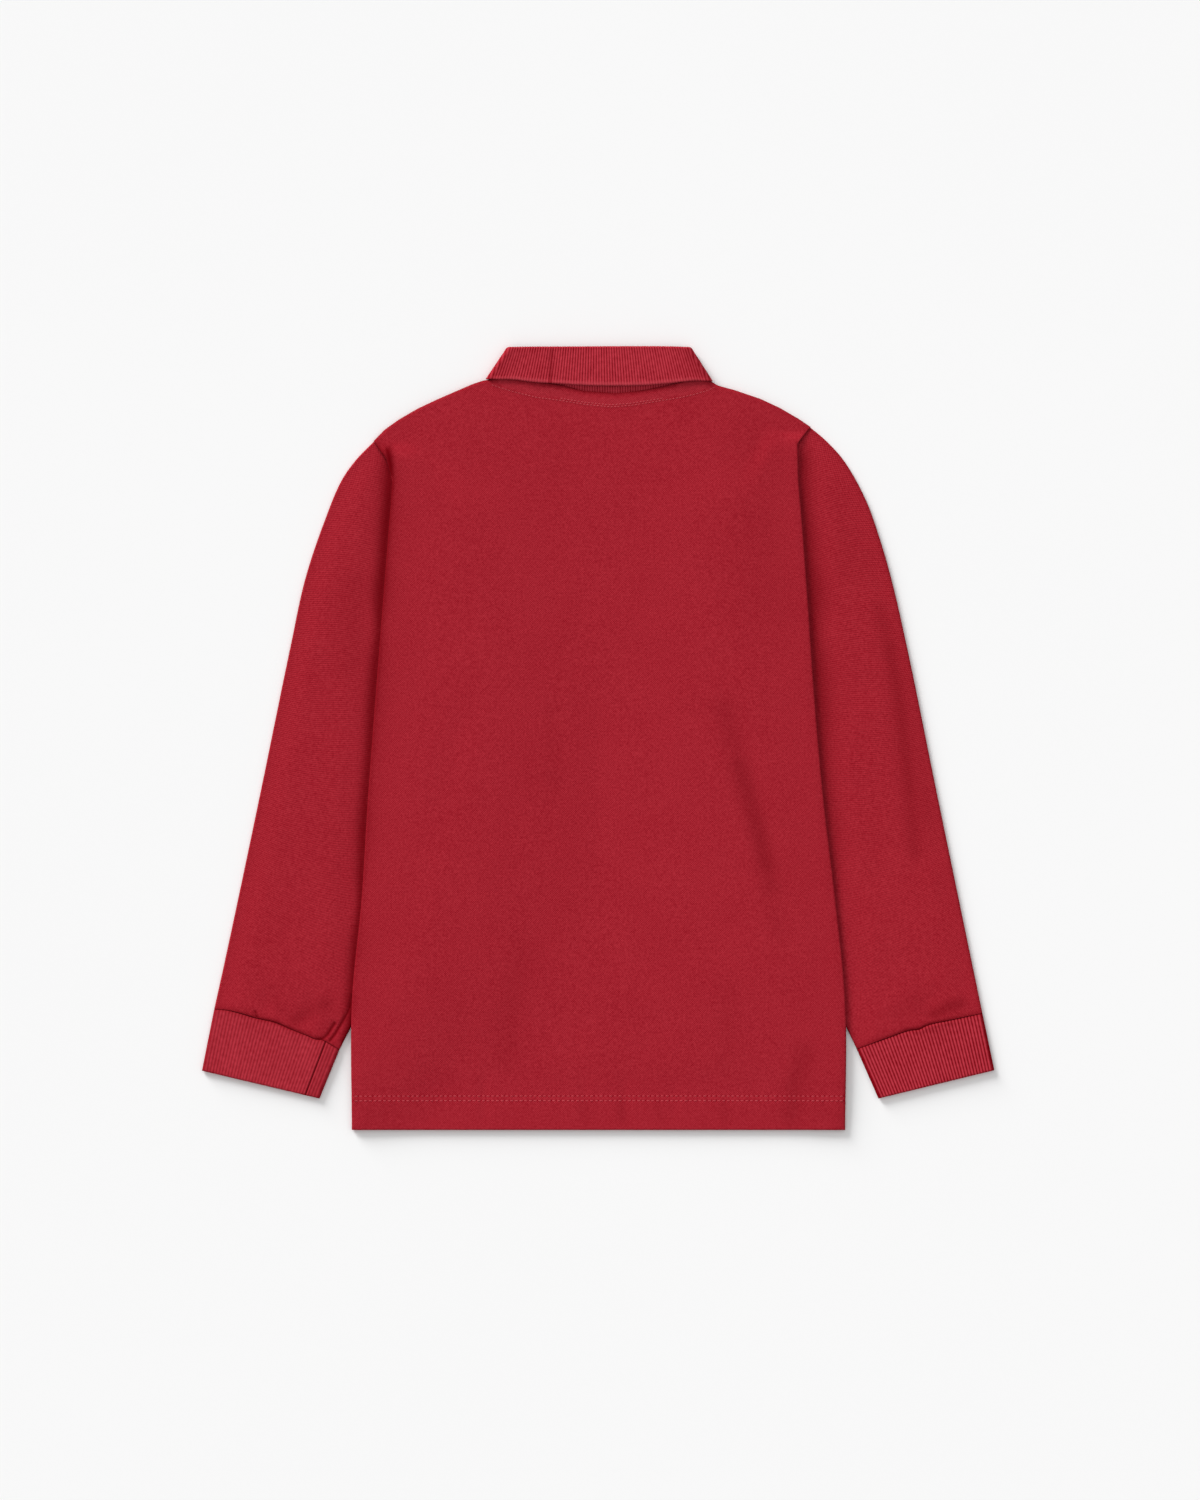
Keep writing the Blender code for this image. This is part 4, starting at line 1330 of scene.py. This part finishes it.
def make_sleeve(side):
    """A sleeve. Its grid is finest beside the body and above the cuff, where the narrow
    creases are."""
    place = sleeve_place(side)
    columns = [[0.012, 0.03], np.linspace(0.05, 0.70, 30), np.linspace(0.712, 0.965, 26), [0.975, 0.988]]
    ring = flat_ring(np.concatenate(columns))
    rows = [np.linspace(0, 0.86, 118), np.linspace(0.8625, 0.985, 50)]
    rows = np.concatenate([*rows, [0.989, 0.993, 0.9955, 0.9975, 0.999, 1.0]])

    def top_at(spot, from_edge):
        return sleeve_top(side, spot[:, 0], spot[:, 1], from_edge)

    def shape(index, along, face):
        spot, z, height = tube_spots(place, ring, index, along, face, top_at, CLOTH)
        to_cuff = apart(spot, place(ring.share[index.astype(int)], 0 * along + 1))
        creases = SLEEVE_SHADED_LINES[side][:SEWN_CREASES] if side == "left" else []
        sewn_in = CREASE_DEPTH * drawn(creases, spot[:, 0], spot[:, 1])
        z = z - face * height * (rounded(to_cuff, 2.2, 1.1) + sewn_in)
        return np.column_stack([spot, z])

    def pattern(index, along):
        around = np.append(ring.share, ring.share[0])[index.astype(int)]
        back = np.append(ring.height, ring.height[0])[index.astype(int)] < 0.5
        return np.where(back, 2 - around, around) * SLEEVE_HALF_ROUND, along * SLEEVE_LENGTH

    def shade(index, along, face, x, y, z):
        spot = np.stack([x, y], axis=-1)
        share = ring.share[index.astype(int)]
        armhole, cuff_end = apart(spot, place(share, 0 * along)), apart(spot, place(share, 0 * along + 1))
        # Painted shade at the armhole and cuff seams, and on the tube's rounded rims.
        seams = 0.12 * np.exp(-armhole / 0.9) + 1.0 * np.exp(-cuff_end / 1.7)
        rim = 0.20 * round_edge(share, width_at(place, along), 1.5)
        return deepest(sleeve_shade(side, x, y), seams, rim) * face * (z > SHADED_FROM)

    cloth = woven(np.arange(len(ring.share)), rows, closed=True)
    whole = len(ring.share)
    piece = shaped(f"sleeve_tube_{side}", cloth, shape, pattern, pique, period=whole, shade=shade)
    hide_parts(f"sleeve_{side}")
    print("  cuff end of the", side, "sleeve, mm:", round(float(width_at(place, np.ones(1))[0]), 1))
    return piece


sleeves = {side: make_sleeve(side) for side in SLEEVES}

# %% [markdown]
# ## The ribbed cuffs
# Each cuff is a ring of rib knit with about 38 ribs on the side we see. The ribs are
# real ridges here, six points to each, so they catch the light from the side. On the
# left cuff the knit is joined into a ring near its inner edge, which shows as one
# deeper trough, also painted darker as shade.

# %% The cuffs
CUFF_RIBS = 38
CUFF_RELIEF = {"left": 0.14, "right": 0.45}
RIB_POINTS = 6
CUFF_JOIN = {"left": 34.0, "right": 2 * CUFF_RIBS - 3.0}
CUFF_TOP_FROM = 1.2
CUFF_BASE_SHADE = 0.07


def trough(phase):
    """1 in the bottom of the trough between two ribs, and 0 on top of a rib."""
    return 1 - np.abs(np.sin(np.pi * phase)) ** 0.75


def cuff_place(side):
    edges = SLEEVES[side]
    sleeve_end, hem = curve(edges["cuff_seam"]), curve(edges["cuff_hem"])
    away = hem(0.5) - sleeve_end(0.5)
    away = away / np.linalg.norm(away) * SEWN_GAP

    def seam(share):
        return sleeve_end(share) + away

    def edge(share):
        start, end = seam(share), hem(share)
        return lambda along: start + (end - start) * np.asarray(along, float)[..., None]

    return patch(seam, hem, edge(0.0), edge(1.0))


def make_cuff(side):
    place = cuff_place(side)
    steps = CUFF_RIBS * RIB_POINTS
    shares = (np.arange(1, steps)) / steps
    ring = flat_ring(shares)
    on_top = ring.height > 0.5
    phases = np.where(on_top, ring.share, 2 - ring.share) * CUFF_RIBS
    rows = [0, 0.012, 0.03, 0.06, 0.12, 0.25, 0.4, 0.55, 0.7, 0.82, 0.9, 0.94, 0.965, 0.985, 1.0]

    def top_at(spot, from_edge):
        return 2 * CUFF_CLOTH + LAYER_AIR + 0 * from_edge

    def shape(index, along, face):
        spot, z, height = tube_spots(place, ring, index, along, face, top_at, CUFF_CLOTH)
        phase = phases[index.astype(int)]
        relief = CUFF_RELIEF[side] * trough(phase) * smooth((1 - along) / 0.05 + 0.25)
        join = 0.9 * np.exp(-(((phase - CUFF_JOIN[side]) / 0.22) ** 2))
        ends = rounded(along * CUFF_LENGTH, 2.0, 1.1) + rounded((1 - along) * CUFF_LENGTH, 1.3, 0.7)
        soft = 0.12 * ripple(spot[:, 0], spot[:, 1], 22, 6.3)
        cut_in = (relief + join * face) * (2 * height - 1) + (ends - soft) * height
        return np.column_stack([spot, z - face * cut_in])

    def pattern(index, along):
        return np.append(phases, 2.0 * CUFF_RIBS)[index.astype(int)], along * CUFF_LENGTH

    def shade(index, along, face, x, y, z):
        # Painted shade in the join's trough, at the seam, on the rims and along the shaded lines, and more
        # past the join on the left cuff.
        from_join = phases[index.astype(int)] - CUFF_JOIN[side]
        join = 0.8 * np.exp(-((from_join / 0.35) ** 2))
        seam = 0.95 * np.exp(-along * CUFF_LENGTH / 1.3)
        rim = 0.24 * round_edge(ring.share[index.astype(int)], CUFF_WIDTH, 1.3)
        marks = drawn(CUFF_SHADED_LINES[side], x, y) * (z > CUFF_TOP_FROM)
        past_join = 0.16 * smooth(from_join * 4) * (side == "left")
        return deepest(join, seam, rim, marks, CUFF_BASE_SHADE + past_join) * face

    cloth = woven(np.arange(len(ring.share)), rows, closed=True)
    whole = len(ring.share)
    piece = shaped(f"cuff_ring_{side}", cloth, shape, pattern, cuff_ribs[side], period=whole, shade=shade)
    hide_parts(f"cuff_{side}")
    return piece


cuffs = {side: make_cuff(side) for side in SLEEVES}

# %% [markdown]
# ## The collar
# The collar is one knitted band. It stands up from the neck seam, rolls over at the
# top and falls back down, and its two ends fold round the sides of the neck and lie
# under the front. So every place on it has a station round the neck and a place along
# its hook: the stand, the roll and the fall.

# %% Stations round the neck
ROLL_MIDDLE = RIB_CLOTH / 2 + SEAM_GAP / 2
LOOP_RADIUS = 2 * ROLL_MIDDLE
COLLAR_RADIUS = LOOP_RADIUS + ROLL_MIDDLE + RIB_CLOTH / 2
COLLAR_PITCH = 2.05
COLLAR_RELIEF = 0.42
STAND_LENGTH = 31.0
ROLL_LENGTH = 3.0
FALL_LENGTH = 28.0
FALL_MEASURE = 30.0
FOLD_HALF = 71.5
FALL_SPREAD = 13.5
TURN_LENGTH = 7.0
WING_LENGTH = 96.0
PLAIN_EDGE = 2.4
STAND_TUCK = 1.3
STAND_DIP = 1.6


def lines_at(fold, edge, neck, inset_start, inset_end):
    """Neck, fold and edge of one stretch of the collar, as a function of a share."""
    fold_line, edge_line = curve(fold), curve(edge)

    def at(share):
        inward = inset_start * (1 - share) - inset_end * share
        shift = np.stack([inward, 0 * share], axis=-1)
        return neck(share) + shift, fold_line(share) + shift, edge_line(share) + shift

    return at


def back_neck(share):
    x = NECK_LEFT + (NECK_RIGHT - NECK_LEFT) * share
    return np.stack([x, back_height(x) + SEWN_GAP], axis=-1)


def wing_neck(share):
    x = NECK_LEFT + (NECK_MIDDLE - SEWN_GAP - NECK_LEFT) * share
    inward = np.minimum(x + COLLAR_RADIUS * (1 - share), NECK_MIDDLE)
    front = height_on(FRONT_NECK, inward) + SEWN_GAP
    start = smooth(share / 0.06)
    return np.stack([x, front * start + back_neck(0 * share)[..., 1] * (1 - start)], axis=-1)


BACK_LINES = lines_at(COLLAR_FOLD, COLLAR_EDGE, back_neck, COLLAR_RADIUS, COLLAR_RADIUS)
WING_LINES = lines_at(WING_FOLD, WING_EDGE, wing_neck, COLLAR_RADIUS, 0.0)


def collar_lines(station):
    """Neck, fold, edge and turn at stations: 0 to 1 is a wing, 1 to 2 its turn round the
    side, 2 to 3 the back, and 3 to 5 the other turn and wing."""
    mirror = station > 2.5
    near = np.where(mirror, 5 - station, station)
    wing = WING_LINES(1 - np.clip(near, 0, 1))
    back = BACK_LINES(np.clip(station - 2, 0, 1))
    turned = np.where(near < 1, -90.0, -90 + 180 * np.clip(near - 1, 0, 1))
    flip = mirror & (near < 1)
    lines = []
    for wing_line, back_line in zip(wing, back):
        other = wing_line * [-1, 1] + [MIRROR, 0]
        wing_line = np.where(flip[:, None], other, wing_line)
        lines.append(np.where((near < 1)[:, None], wing_line, back_line))
    return lines, np.where(mirror, 180 - turned, turned)


print("collar radius at its sides, mm:", round(COLLAR_RADIUS, 2))


# %% Ribs round the collar
def unit(vectors):
    return vectors / np.linalg.norm(vectors, axis=-1, keepdims=True)


def hook(spot_neck, fold, edge, along, thick):
    """A place on the hook and how far out it is. Along: 0 to 1 stand, to 2 roll, to 3 fall."""
    upward = unit(unit(fold - spot_neck) + unit(fold - edge))
    crest = fold - upward * (ROLL_MIDDLE + RIB_CLOTH / 2)
    angle = np.pi * (np.clip(along - 1, 0, 1) - 0.5)
    stand, fall = np.clip(along, 0, 1)[:, None], np.clip(along - 2, 0, 1)[:, None]
    spot = np.where(along[:, None] < 1, spot_neck + (crest - spot_neck) * stand, crest)
    spot = np.where(along[:, None] > 2, crest + (edge - crest) * fall, spot)
    rolled = (along >= 1) & (along <= 2)
    spot = spot + upward * (thick * np.cos(angle) * rolled)[:, None]
    return spot, thick * np.sin(angle)


def rib_at(station, along):
    """The rib's number at places: the ribs fan less than the sides of the collar do."""
    down = np.clip(np.where(along < 1, 1 - along, along - 2), 0, 1)
    half_width = FOLD_HALF + FALL_SPREAD * down
    from_middle = np.clip(2 * (station - 2) - 1, -1, 1) * half_width / (1 + 0.075 * down)
    past = np.clip(np.abs(station - 2.5) - 0.5, 0, 2)
    aside = np.clip(past, 0, 1) * TURN_LENGTH + np.clip(past - 1, 0, 1) * WING_LENGTH
    return (from_middle + np.sign(station - 2.5) * aside) / COLLAR_PITCH


def collar_shape(station, along, face):
    """The collar's places. Its ribs end before its edge, which is plain and rounded, and
    at the back the foot of the stand is tucked in behind the neck seam."""
    (neck, fold, edge), turned = collar_lines(station)
    plain = smooth((3 - along) * FALL_MEASURE / PLAIN_EDGE - 0.4)
    relief = COLLAR_RELIEF * trough(rib_at(station, along)) * plain * smooth(along * 8)
    edge_round = rounded((3 - along) * FALL_MEASURE, 1.2, 0.6)
    thick = ROLL_MIDDLE + (face - 0.5) * (RIB_CLOTH - 2 * relief) - edge_round * face
    spot, out = hook(neck, fold, edge, along, thick)
    at_back = smooth((station - 2) * 9) * smooth((3 - station) * 9)
    tucked = (1 - smooth(along / 0.1)) * at_back
    spot[:, 1] -= STAND_TUCK * tucked
    loop, turn = LOOP_RADIUS + out - STAND_DIP * tucked, np.radians(turned)
    x = spot[:, 0] - loop * np.cos(turn)
    z = COLLAR_RADIUS + loop * np.sin(turn)
    lie = smooth(along - 2) * smooth((station - 2) * 6) * smooth((3 - station) * 6) * face
    return np.stack([x, spot[:, 1], z + 0.1 * lie * ripple(x, spot[:, 1], 24, 4.4)], axis=1)


def collar_pattern(station, along):
    lengths = [0, STAND_LENGTH, STAND_LENGTH + ROLL_LENGTH, STAND_LENGTH + ROLL_LENGTH + FALL_LENGTH]
    return rib_at(station, along), np.interp(along, [0, 1, 2, 3], lengths)


ROLL_FROM = 1.2
# Painted shade along a crease in the fall, which has no groove of its own.
CREASE_X = -37.4
CREASE_Y = 290.0
CREASE_LEAN = 0.06


def collar_shade(station, along, face, x, y, z):
    """Painted shade: deep red in the neck seam and under the fall, along the crease in the
    fall, and on the rims of the turns and the roll. A thin darker line runs above the plain
    edge, and the plain edge is painted paler."""
    # Painted shade on the stand under the fall, and on the rims of the turns and the roll.
    stand = 0.12 + 0.3 * np.exp(-along / 0.06) + 0.7 * smooth((along - 0.16) / 0.1)
    off_crease = x - CREASE_X - (y - CREASE_Y) * CREASE_LEAN
    crease = 0.30 * np.exp(-((off_crease / 1.1) ** 2)) + 0.14 * np.exp(-((off_crease / 3.6) ** 2))
    to_turn = np.maximum(0, np.minimum(station - 2, 3 - station)) * 160
    turns = 0.30 * np.exp(-to_turn / 9)
    roll = 0.28 * smooth((2.08 - along) / 0.1)
    past_stand = np.where(along < ROLL_FROM, stand, 0) + np.where(along > ROLL_FROM, deepest(turns, roll), 0)
    above_edge = 0.14 * np.exp(-(((along - 2.8) / 0.05) ** 2))
    # The plain edge is painted paler.
    plain = -0.36 * smooth((along - 2.89) / 0.03)
    deep = deepest(past_stand, smooth((along - 1.5) * 3) * crease, above_edge)
    return np.where(deep > 0.25, deep, deep + plain) * face


wing_stations = np.linspace(0, 1, 180)[:-1]
turn_stations = np.linspace(1, 2, 19)[:-1]
one_side = np.concatenate([wing_stations, turn_stations])
stations = np.concatenate([one_side, np.linspace(2, 3, 460), 5 - one_side[::-1]])
stand_rows = [0, 0.02, 0.05, 0.08, 0.12, 0.2, 0.3, 0.5, 0.7, 0.88]
roll_rows = [1.0, 1.12, 1.25, 1.37, 1.5, 1.63, 1.75, 1.88]
fall_rows = [2.0, 2.06, 2.15, 2.3, 2.45, 2.6, 2.75, 2.86, 2.91, 2.94, 2.965, 2.985, 3.0]
collar_cloth = woven(stations, stand_rows + roll_rows + fall_rows)
collar = shaped("collar_band", collar_cloth, collar_shape, collar_pattern, rib, shade=collar_shade)
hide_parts("collar")

# %% [markdown]
# ## Stitches
# A stitch that shows is a short bridge of thread between two needle holes. Each one
# here is a small flattened ball, drawn out along its row. There are hundreds, so each
# has only 24 faces, and all the rows of one place are one piece. The rows follow the
# height of the cloth that they are sewn on.

# %% Rows of stitches
STITCH_WIDTH = 0.65
STITCH_HEIGHT = 0.36
HEM_STITCH = 2.7
NECK_PITCH = 2.7
NECK_STITCH = 1.9
NECK_ROW_GAP = 1.6


def sew(rows, line, pitch, length, height_of, turned=0.0):
    """Adds a row of stitches to a mesh. Turned stitches lie across their row."""
    spots = np.array(line, float)
    runs = np.concatenate([[0], np.cumsum(np.linalg.norm(np.diff(spots, axis=0), axis=1))])
    at = np.arange(pitch / 2, runs[-1], pitch)
    x, y = (np.interp(at, runs, spots[:, i]) for i in (0, 1))
    ahead_x, ahead_y = (np.interp(at + 0.5, runs, spots[:, i]) for i in (0, 1))
    before_x, before_y = (np.interp(at - 0.5, runs, spots[:, i]) for i in (0, 1))
    turns = np.arctan2(ahead_y - before_y, ahead_x - before_x) + turned
    scale = Matrix.Diagonal((length / 2 * MM, STITCH_WIDTH / 2 * MM, STITCH_HEIGHT / 2 * MM, 1))
    for spot_x, spot_y, z, turn in zip(x, y, height_of(x, y), turns):
        place = Matrix.Translation((spot_x * MM, spot_y * MM, z * MM))
        way = Matrix.Rotation(turn, 4, "Z")
        bmesh.ops.create_uvsphere(rows, u_segments=6, v_segments=4, radius=1, matrix=place @ way @ scale)
    return len(x)


def sewn(name, sets):
    """One piece from several rows: each its line, pitch, length, height and turn."""
    rows = bmesh.new()
    count = sum(sew(rows, *row) for row in sets)
    mesh = bpy.data.meshes.new(name)
    rows.to_mesh(mesh)
    rows.free()
    mesh.shade_smooth()
    piece = linked(name, mesh, thread)
    print(name, "has", count, "stitches")
    return piece


def hem_line(y):
    left, right = edge_at(y, "left") + 1.5, edge_at(y, "right") - 1.5
    return [(left, y), (right, y)]


def raised(line, by):
    return [(x, y + by) for x, y in line]


def rows_of(lines, pitch, length, height_of):
    """Several rows of the same stitches."""
    return [(line, pitch, length, height_of) for line in lines]


hem_rows = [hem_line(HEM_STITCHES), hem_line(HEM_STITCHES_LOW)]
hem_back = sewn("hem_stitches_back", rows_of(hem_rows, HEM_PITCH, HEM_STITCH, back_top))
hem_front = sewn("hem_stitches_front", rows_of(hem_rows, HEM_PITCH, HEM_STITCH, front_under))
neck_rows = [NECK_STITCHES, raised(NECK_STITCHES, NECK_ROW_GAP)[3:9]]
neck_stitches = sewn("neck_stitches", rows_of(neck_rows, NECK_PITCH, NECK_STITCH, back_top))

# %% [markdown]
# ## The placket's stitches and buttons
# The placket lies under the shirt, on the table. It has a row of stitches inside each
# edge, a boxed foot, and a buttonhole behind each button. A button is turned on a
# lathe, so its half outline is spun round. A Boolean modifier then cuts the four holes,
# and its result is kept. Two short bars of thread hold it on.


# %% Placket stitches and buttonholes
BUTTONS = [Button("button_top", 0.8, 203.0), Button("button_bottom", 0.5, 140.0)]
PLACKET_FOOT = 73.5
PLACKET_PITCH = 2.9
PLACKET_STITCH = 2.1
PLACKET_SEAM = 2.2
STRIP_TOP = 213.0
BUTTONHOLE = 13.5
BUTTONHOLE_HALF = 0.9
BUTTONHOLE_PITCH = 0.6
BUTTONHOLE_STITCH = 1.5

left_seam, right_seam = NECK_MIDDLE - half + PLACKET_SEAM, NECK_MIDDLE + half - PLACKET_SEAM
foot, box_top = PLACKET_FOOT + 1.8, PLACKET_FOOT + 14
corners = [(left_seam, foot), (right_seam, foot), (right_seam, box_top), (left_seam, box_top)]
strip_rows = [[(x, box_top), (x, STRIP_TOP)] for x in (left_seam, right_seam)]
strip_rows.append([*corners, corners[0]])
placket_sets = rows_of(strip_rows, PLACKET_PITCH, PLACKET_STITCH, front_under)
for button in BUTTONS:
    for way in (-1, 1):
        x = button.x + way * BUTTONHOLE_HALF
        side_line = [(x, button.y - BUTTONHOLE / 2), (x, button.y + BUTTONHOLE / 2)]
        placket_sets.append((side_line, BUTTONHOLE_PITCH, BUTTONHOLE_STITCH, front_under, math.pi / 2))
placket_stitches = sewn("placket_stitches", placket_sets)


# %% Buttons
BUTTON_OUTLINE = [
    (0.0, 0.55),
    (2.6, 0.5),
    (3.6, 0.2),
    (4.3, 0.0),
    (5.0, 0.05),
    (5.45, 0.3),
    (5.6, 0.8),
    (5.4, 1.35),
    (4.6, 1.7),
    (0.0, 1.8),
]
HOLE_OFFSET = 1.25
HOLE_RADIUS = 0.7
DRILL_MIDDLE = 0.9
DRILL_LENGTH = 4.0
THREAD_HALF = 1.3
THREAD_PITCH = 2.6
THREAD_BAR = 3.3
THREAD_HEIGHT = 0.42


def drilled(blank, holes):
    """The mesh of a blank after a Boolean modifier has cut the holes."""
    whole = bpy.data.objects.new("blank", blank)
    tool = bpy.data.objects.new("holes", holes)
    for helper in (whole, tool):
        bpy.context.scene.collection.objects.link(helper)
    cut = whole.modifiers.new("cut", "BOOLEAN")
    cut.operation, cut.solver, cut.object = "DIFFERENCE", "EXACT", tool
    bpy.context.view_layer.update()
    result = bpy.data.meshes.new_from_object(whole.evaluated_get(bpy.context.evaluated_depsgraph_get()))
    for helper in (whole, tool):
        bpy.data.objects.remove(helper)
    return result


def make_button(button):
    turned = bmesh.new()
    ring = [turned.verts.new((r * MM, 0, z * MM)) for r, z in BUTTON_OUTLINE]
    edges = [turned.edges.new(pair) for pair in zip(ring[:-1], ring[1:])]
    bmesh.ops.spin(turned, geom=ring + edges, axis=(0, 0, 1), angle=math.tau, steps=48, use_merge=True)
    bmesh.ops.remove_doubles(turned, verts=turned.verts, dist=1e-6)
    bmesh.ops.recalc_face_normals(turned, faces=turned.faces)
    pins = bmesh.new()
    drill = {"segments": 16, "depth": DRILL_LENGTH * MM}
    drill["radius1"] = drill["radius2"] = HOLE_RADIUS * MM
    for way_x in (-1, 1):
        for way_y in (-1, 1):
            spot = Vector((way_x * HOLE_OFFSET, way_y * HOLE_OFFSET, DRILL_MIDDLE)) * MM
            bmesh.ops.create_cone(pins, cap_ends=True, matrix=Matrix.Translation(spot), **drill)
    blank, holes = bpy.data.meshes.new("blank"), bpy.data.meshes.new("holes")
    turned.to_mesh(blank)
    pins.to_mesh(holes)
    turned.free()
    pins.free()
    mesh = drilled(blank, holes)
    mesh.transform(Matrix.Translation((button.x * MM, button.y * MM, 0)))
    mesh.materials.clear()
    mesh.shade_smooth()
    mesh.set_sharp_from_angle(angle=math.radians(50))
    piece = linked(button.name + "_horn", mesh, horn)
    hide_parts(button.name)
    return piece


buttons = [make_button(button) for button in BUTTONS]
bars = []
for button in BUTTONS:
    for way in (-1, 1):
        y = button.y + way * HOLE_OFFSET
        bar = [(button.x - THREAD_HALF, y), (button.x + THREAD_HALF, y)]
        bars.append((bar, THREAD_PITCH, THREAD_BAR, lambda x, y: 0 * x + THREAD_HEIGHT))
button_thread = sewn("button_thread", bars)
print("triangles in a button:", sum(len(p.vertices) - 2 for p in buttons[0].data.polygons))

# %% [markdown]
# ## The table and the light
# The shirt lies on a plain white ground. Soft light comes from the upper left, and a
# little fill from all round keeps the shadows pale. A sun with a wide angle acts as a
# large soft window: it is even over the whole shirt.

# %% The table
TABLE_SIDE = 12.0
TABLE_DROP = 0.3

table_mesh = bmesh.new()
bmesh.ops.create_grid(table_mesh, x_segments=1, y_segments=1, size=TABLE_SIDE / 2)
bmesh.ops.translate(table_mesh, vec=(0, 0, -TABLE_DROP * MM), verts=table_mesh.verts)
table_data = bpy.data.meshes.new("table")
table_mesh.to_mesh(table_data)
table_mesh.free()
table_data.materials.append(table_top)
table = bpy.data.objects.new("table", table_data)
bpy.context.scene.collection.objects.link(table)
print("table side, m:", TABLE_SIDE)

# %% The light
WORLD_STRENGTH = 0.42


def sun(name, strength, azimuth, elevation, softness):
    """A sun that shines from an azimuth, counted from +X to +Y, and a height in degrees."""
    data = bpy.data.lights.new(name, "SUN")
    data.energy = strength
    data.angle = math.radians(softness)
    lamp = bpy.data.objects.new(name, data)
    turn, rise = math.radians(azimuth), math.radians(elevation)
    source = Vector((math.cos(rise) * math.cos(turn), math.cos(rise) * math.sin(turn), math.sin(rise)))
    lamp.rotation_euler = (-source).to_track_quat("-Z", "Y").to_euler()
    lamp.location = source * 3
    bpy.context.scene.collection.objects.link(lamp)
    return lamp


sun("key", strength=4.27, azimuth=127, elevation=18, softness=28)
sun("fill", strength=0.68, azimuth=60, elevation=75, softness=90)
world = bpy.data.worlds.new("studio")
world.use_nodes = True
world.node_tree.nodes["Background"].inputs["Color"].default_value = (1, 1, 1, 1)
world.node_tree.nodes["Background"].inputs["Strength"].default_value = WORLD_STRENGTH
bpy.context.scene.world = world
bpy.context.scene.view_settings.view_transform = "Standard"
print("lamps:", [o.name for o in bpy.data.objects if o.type == "LIGHT"])
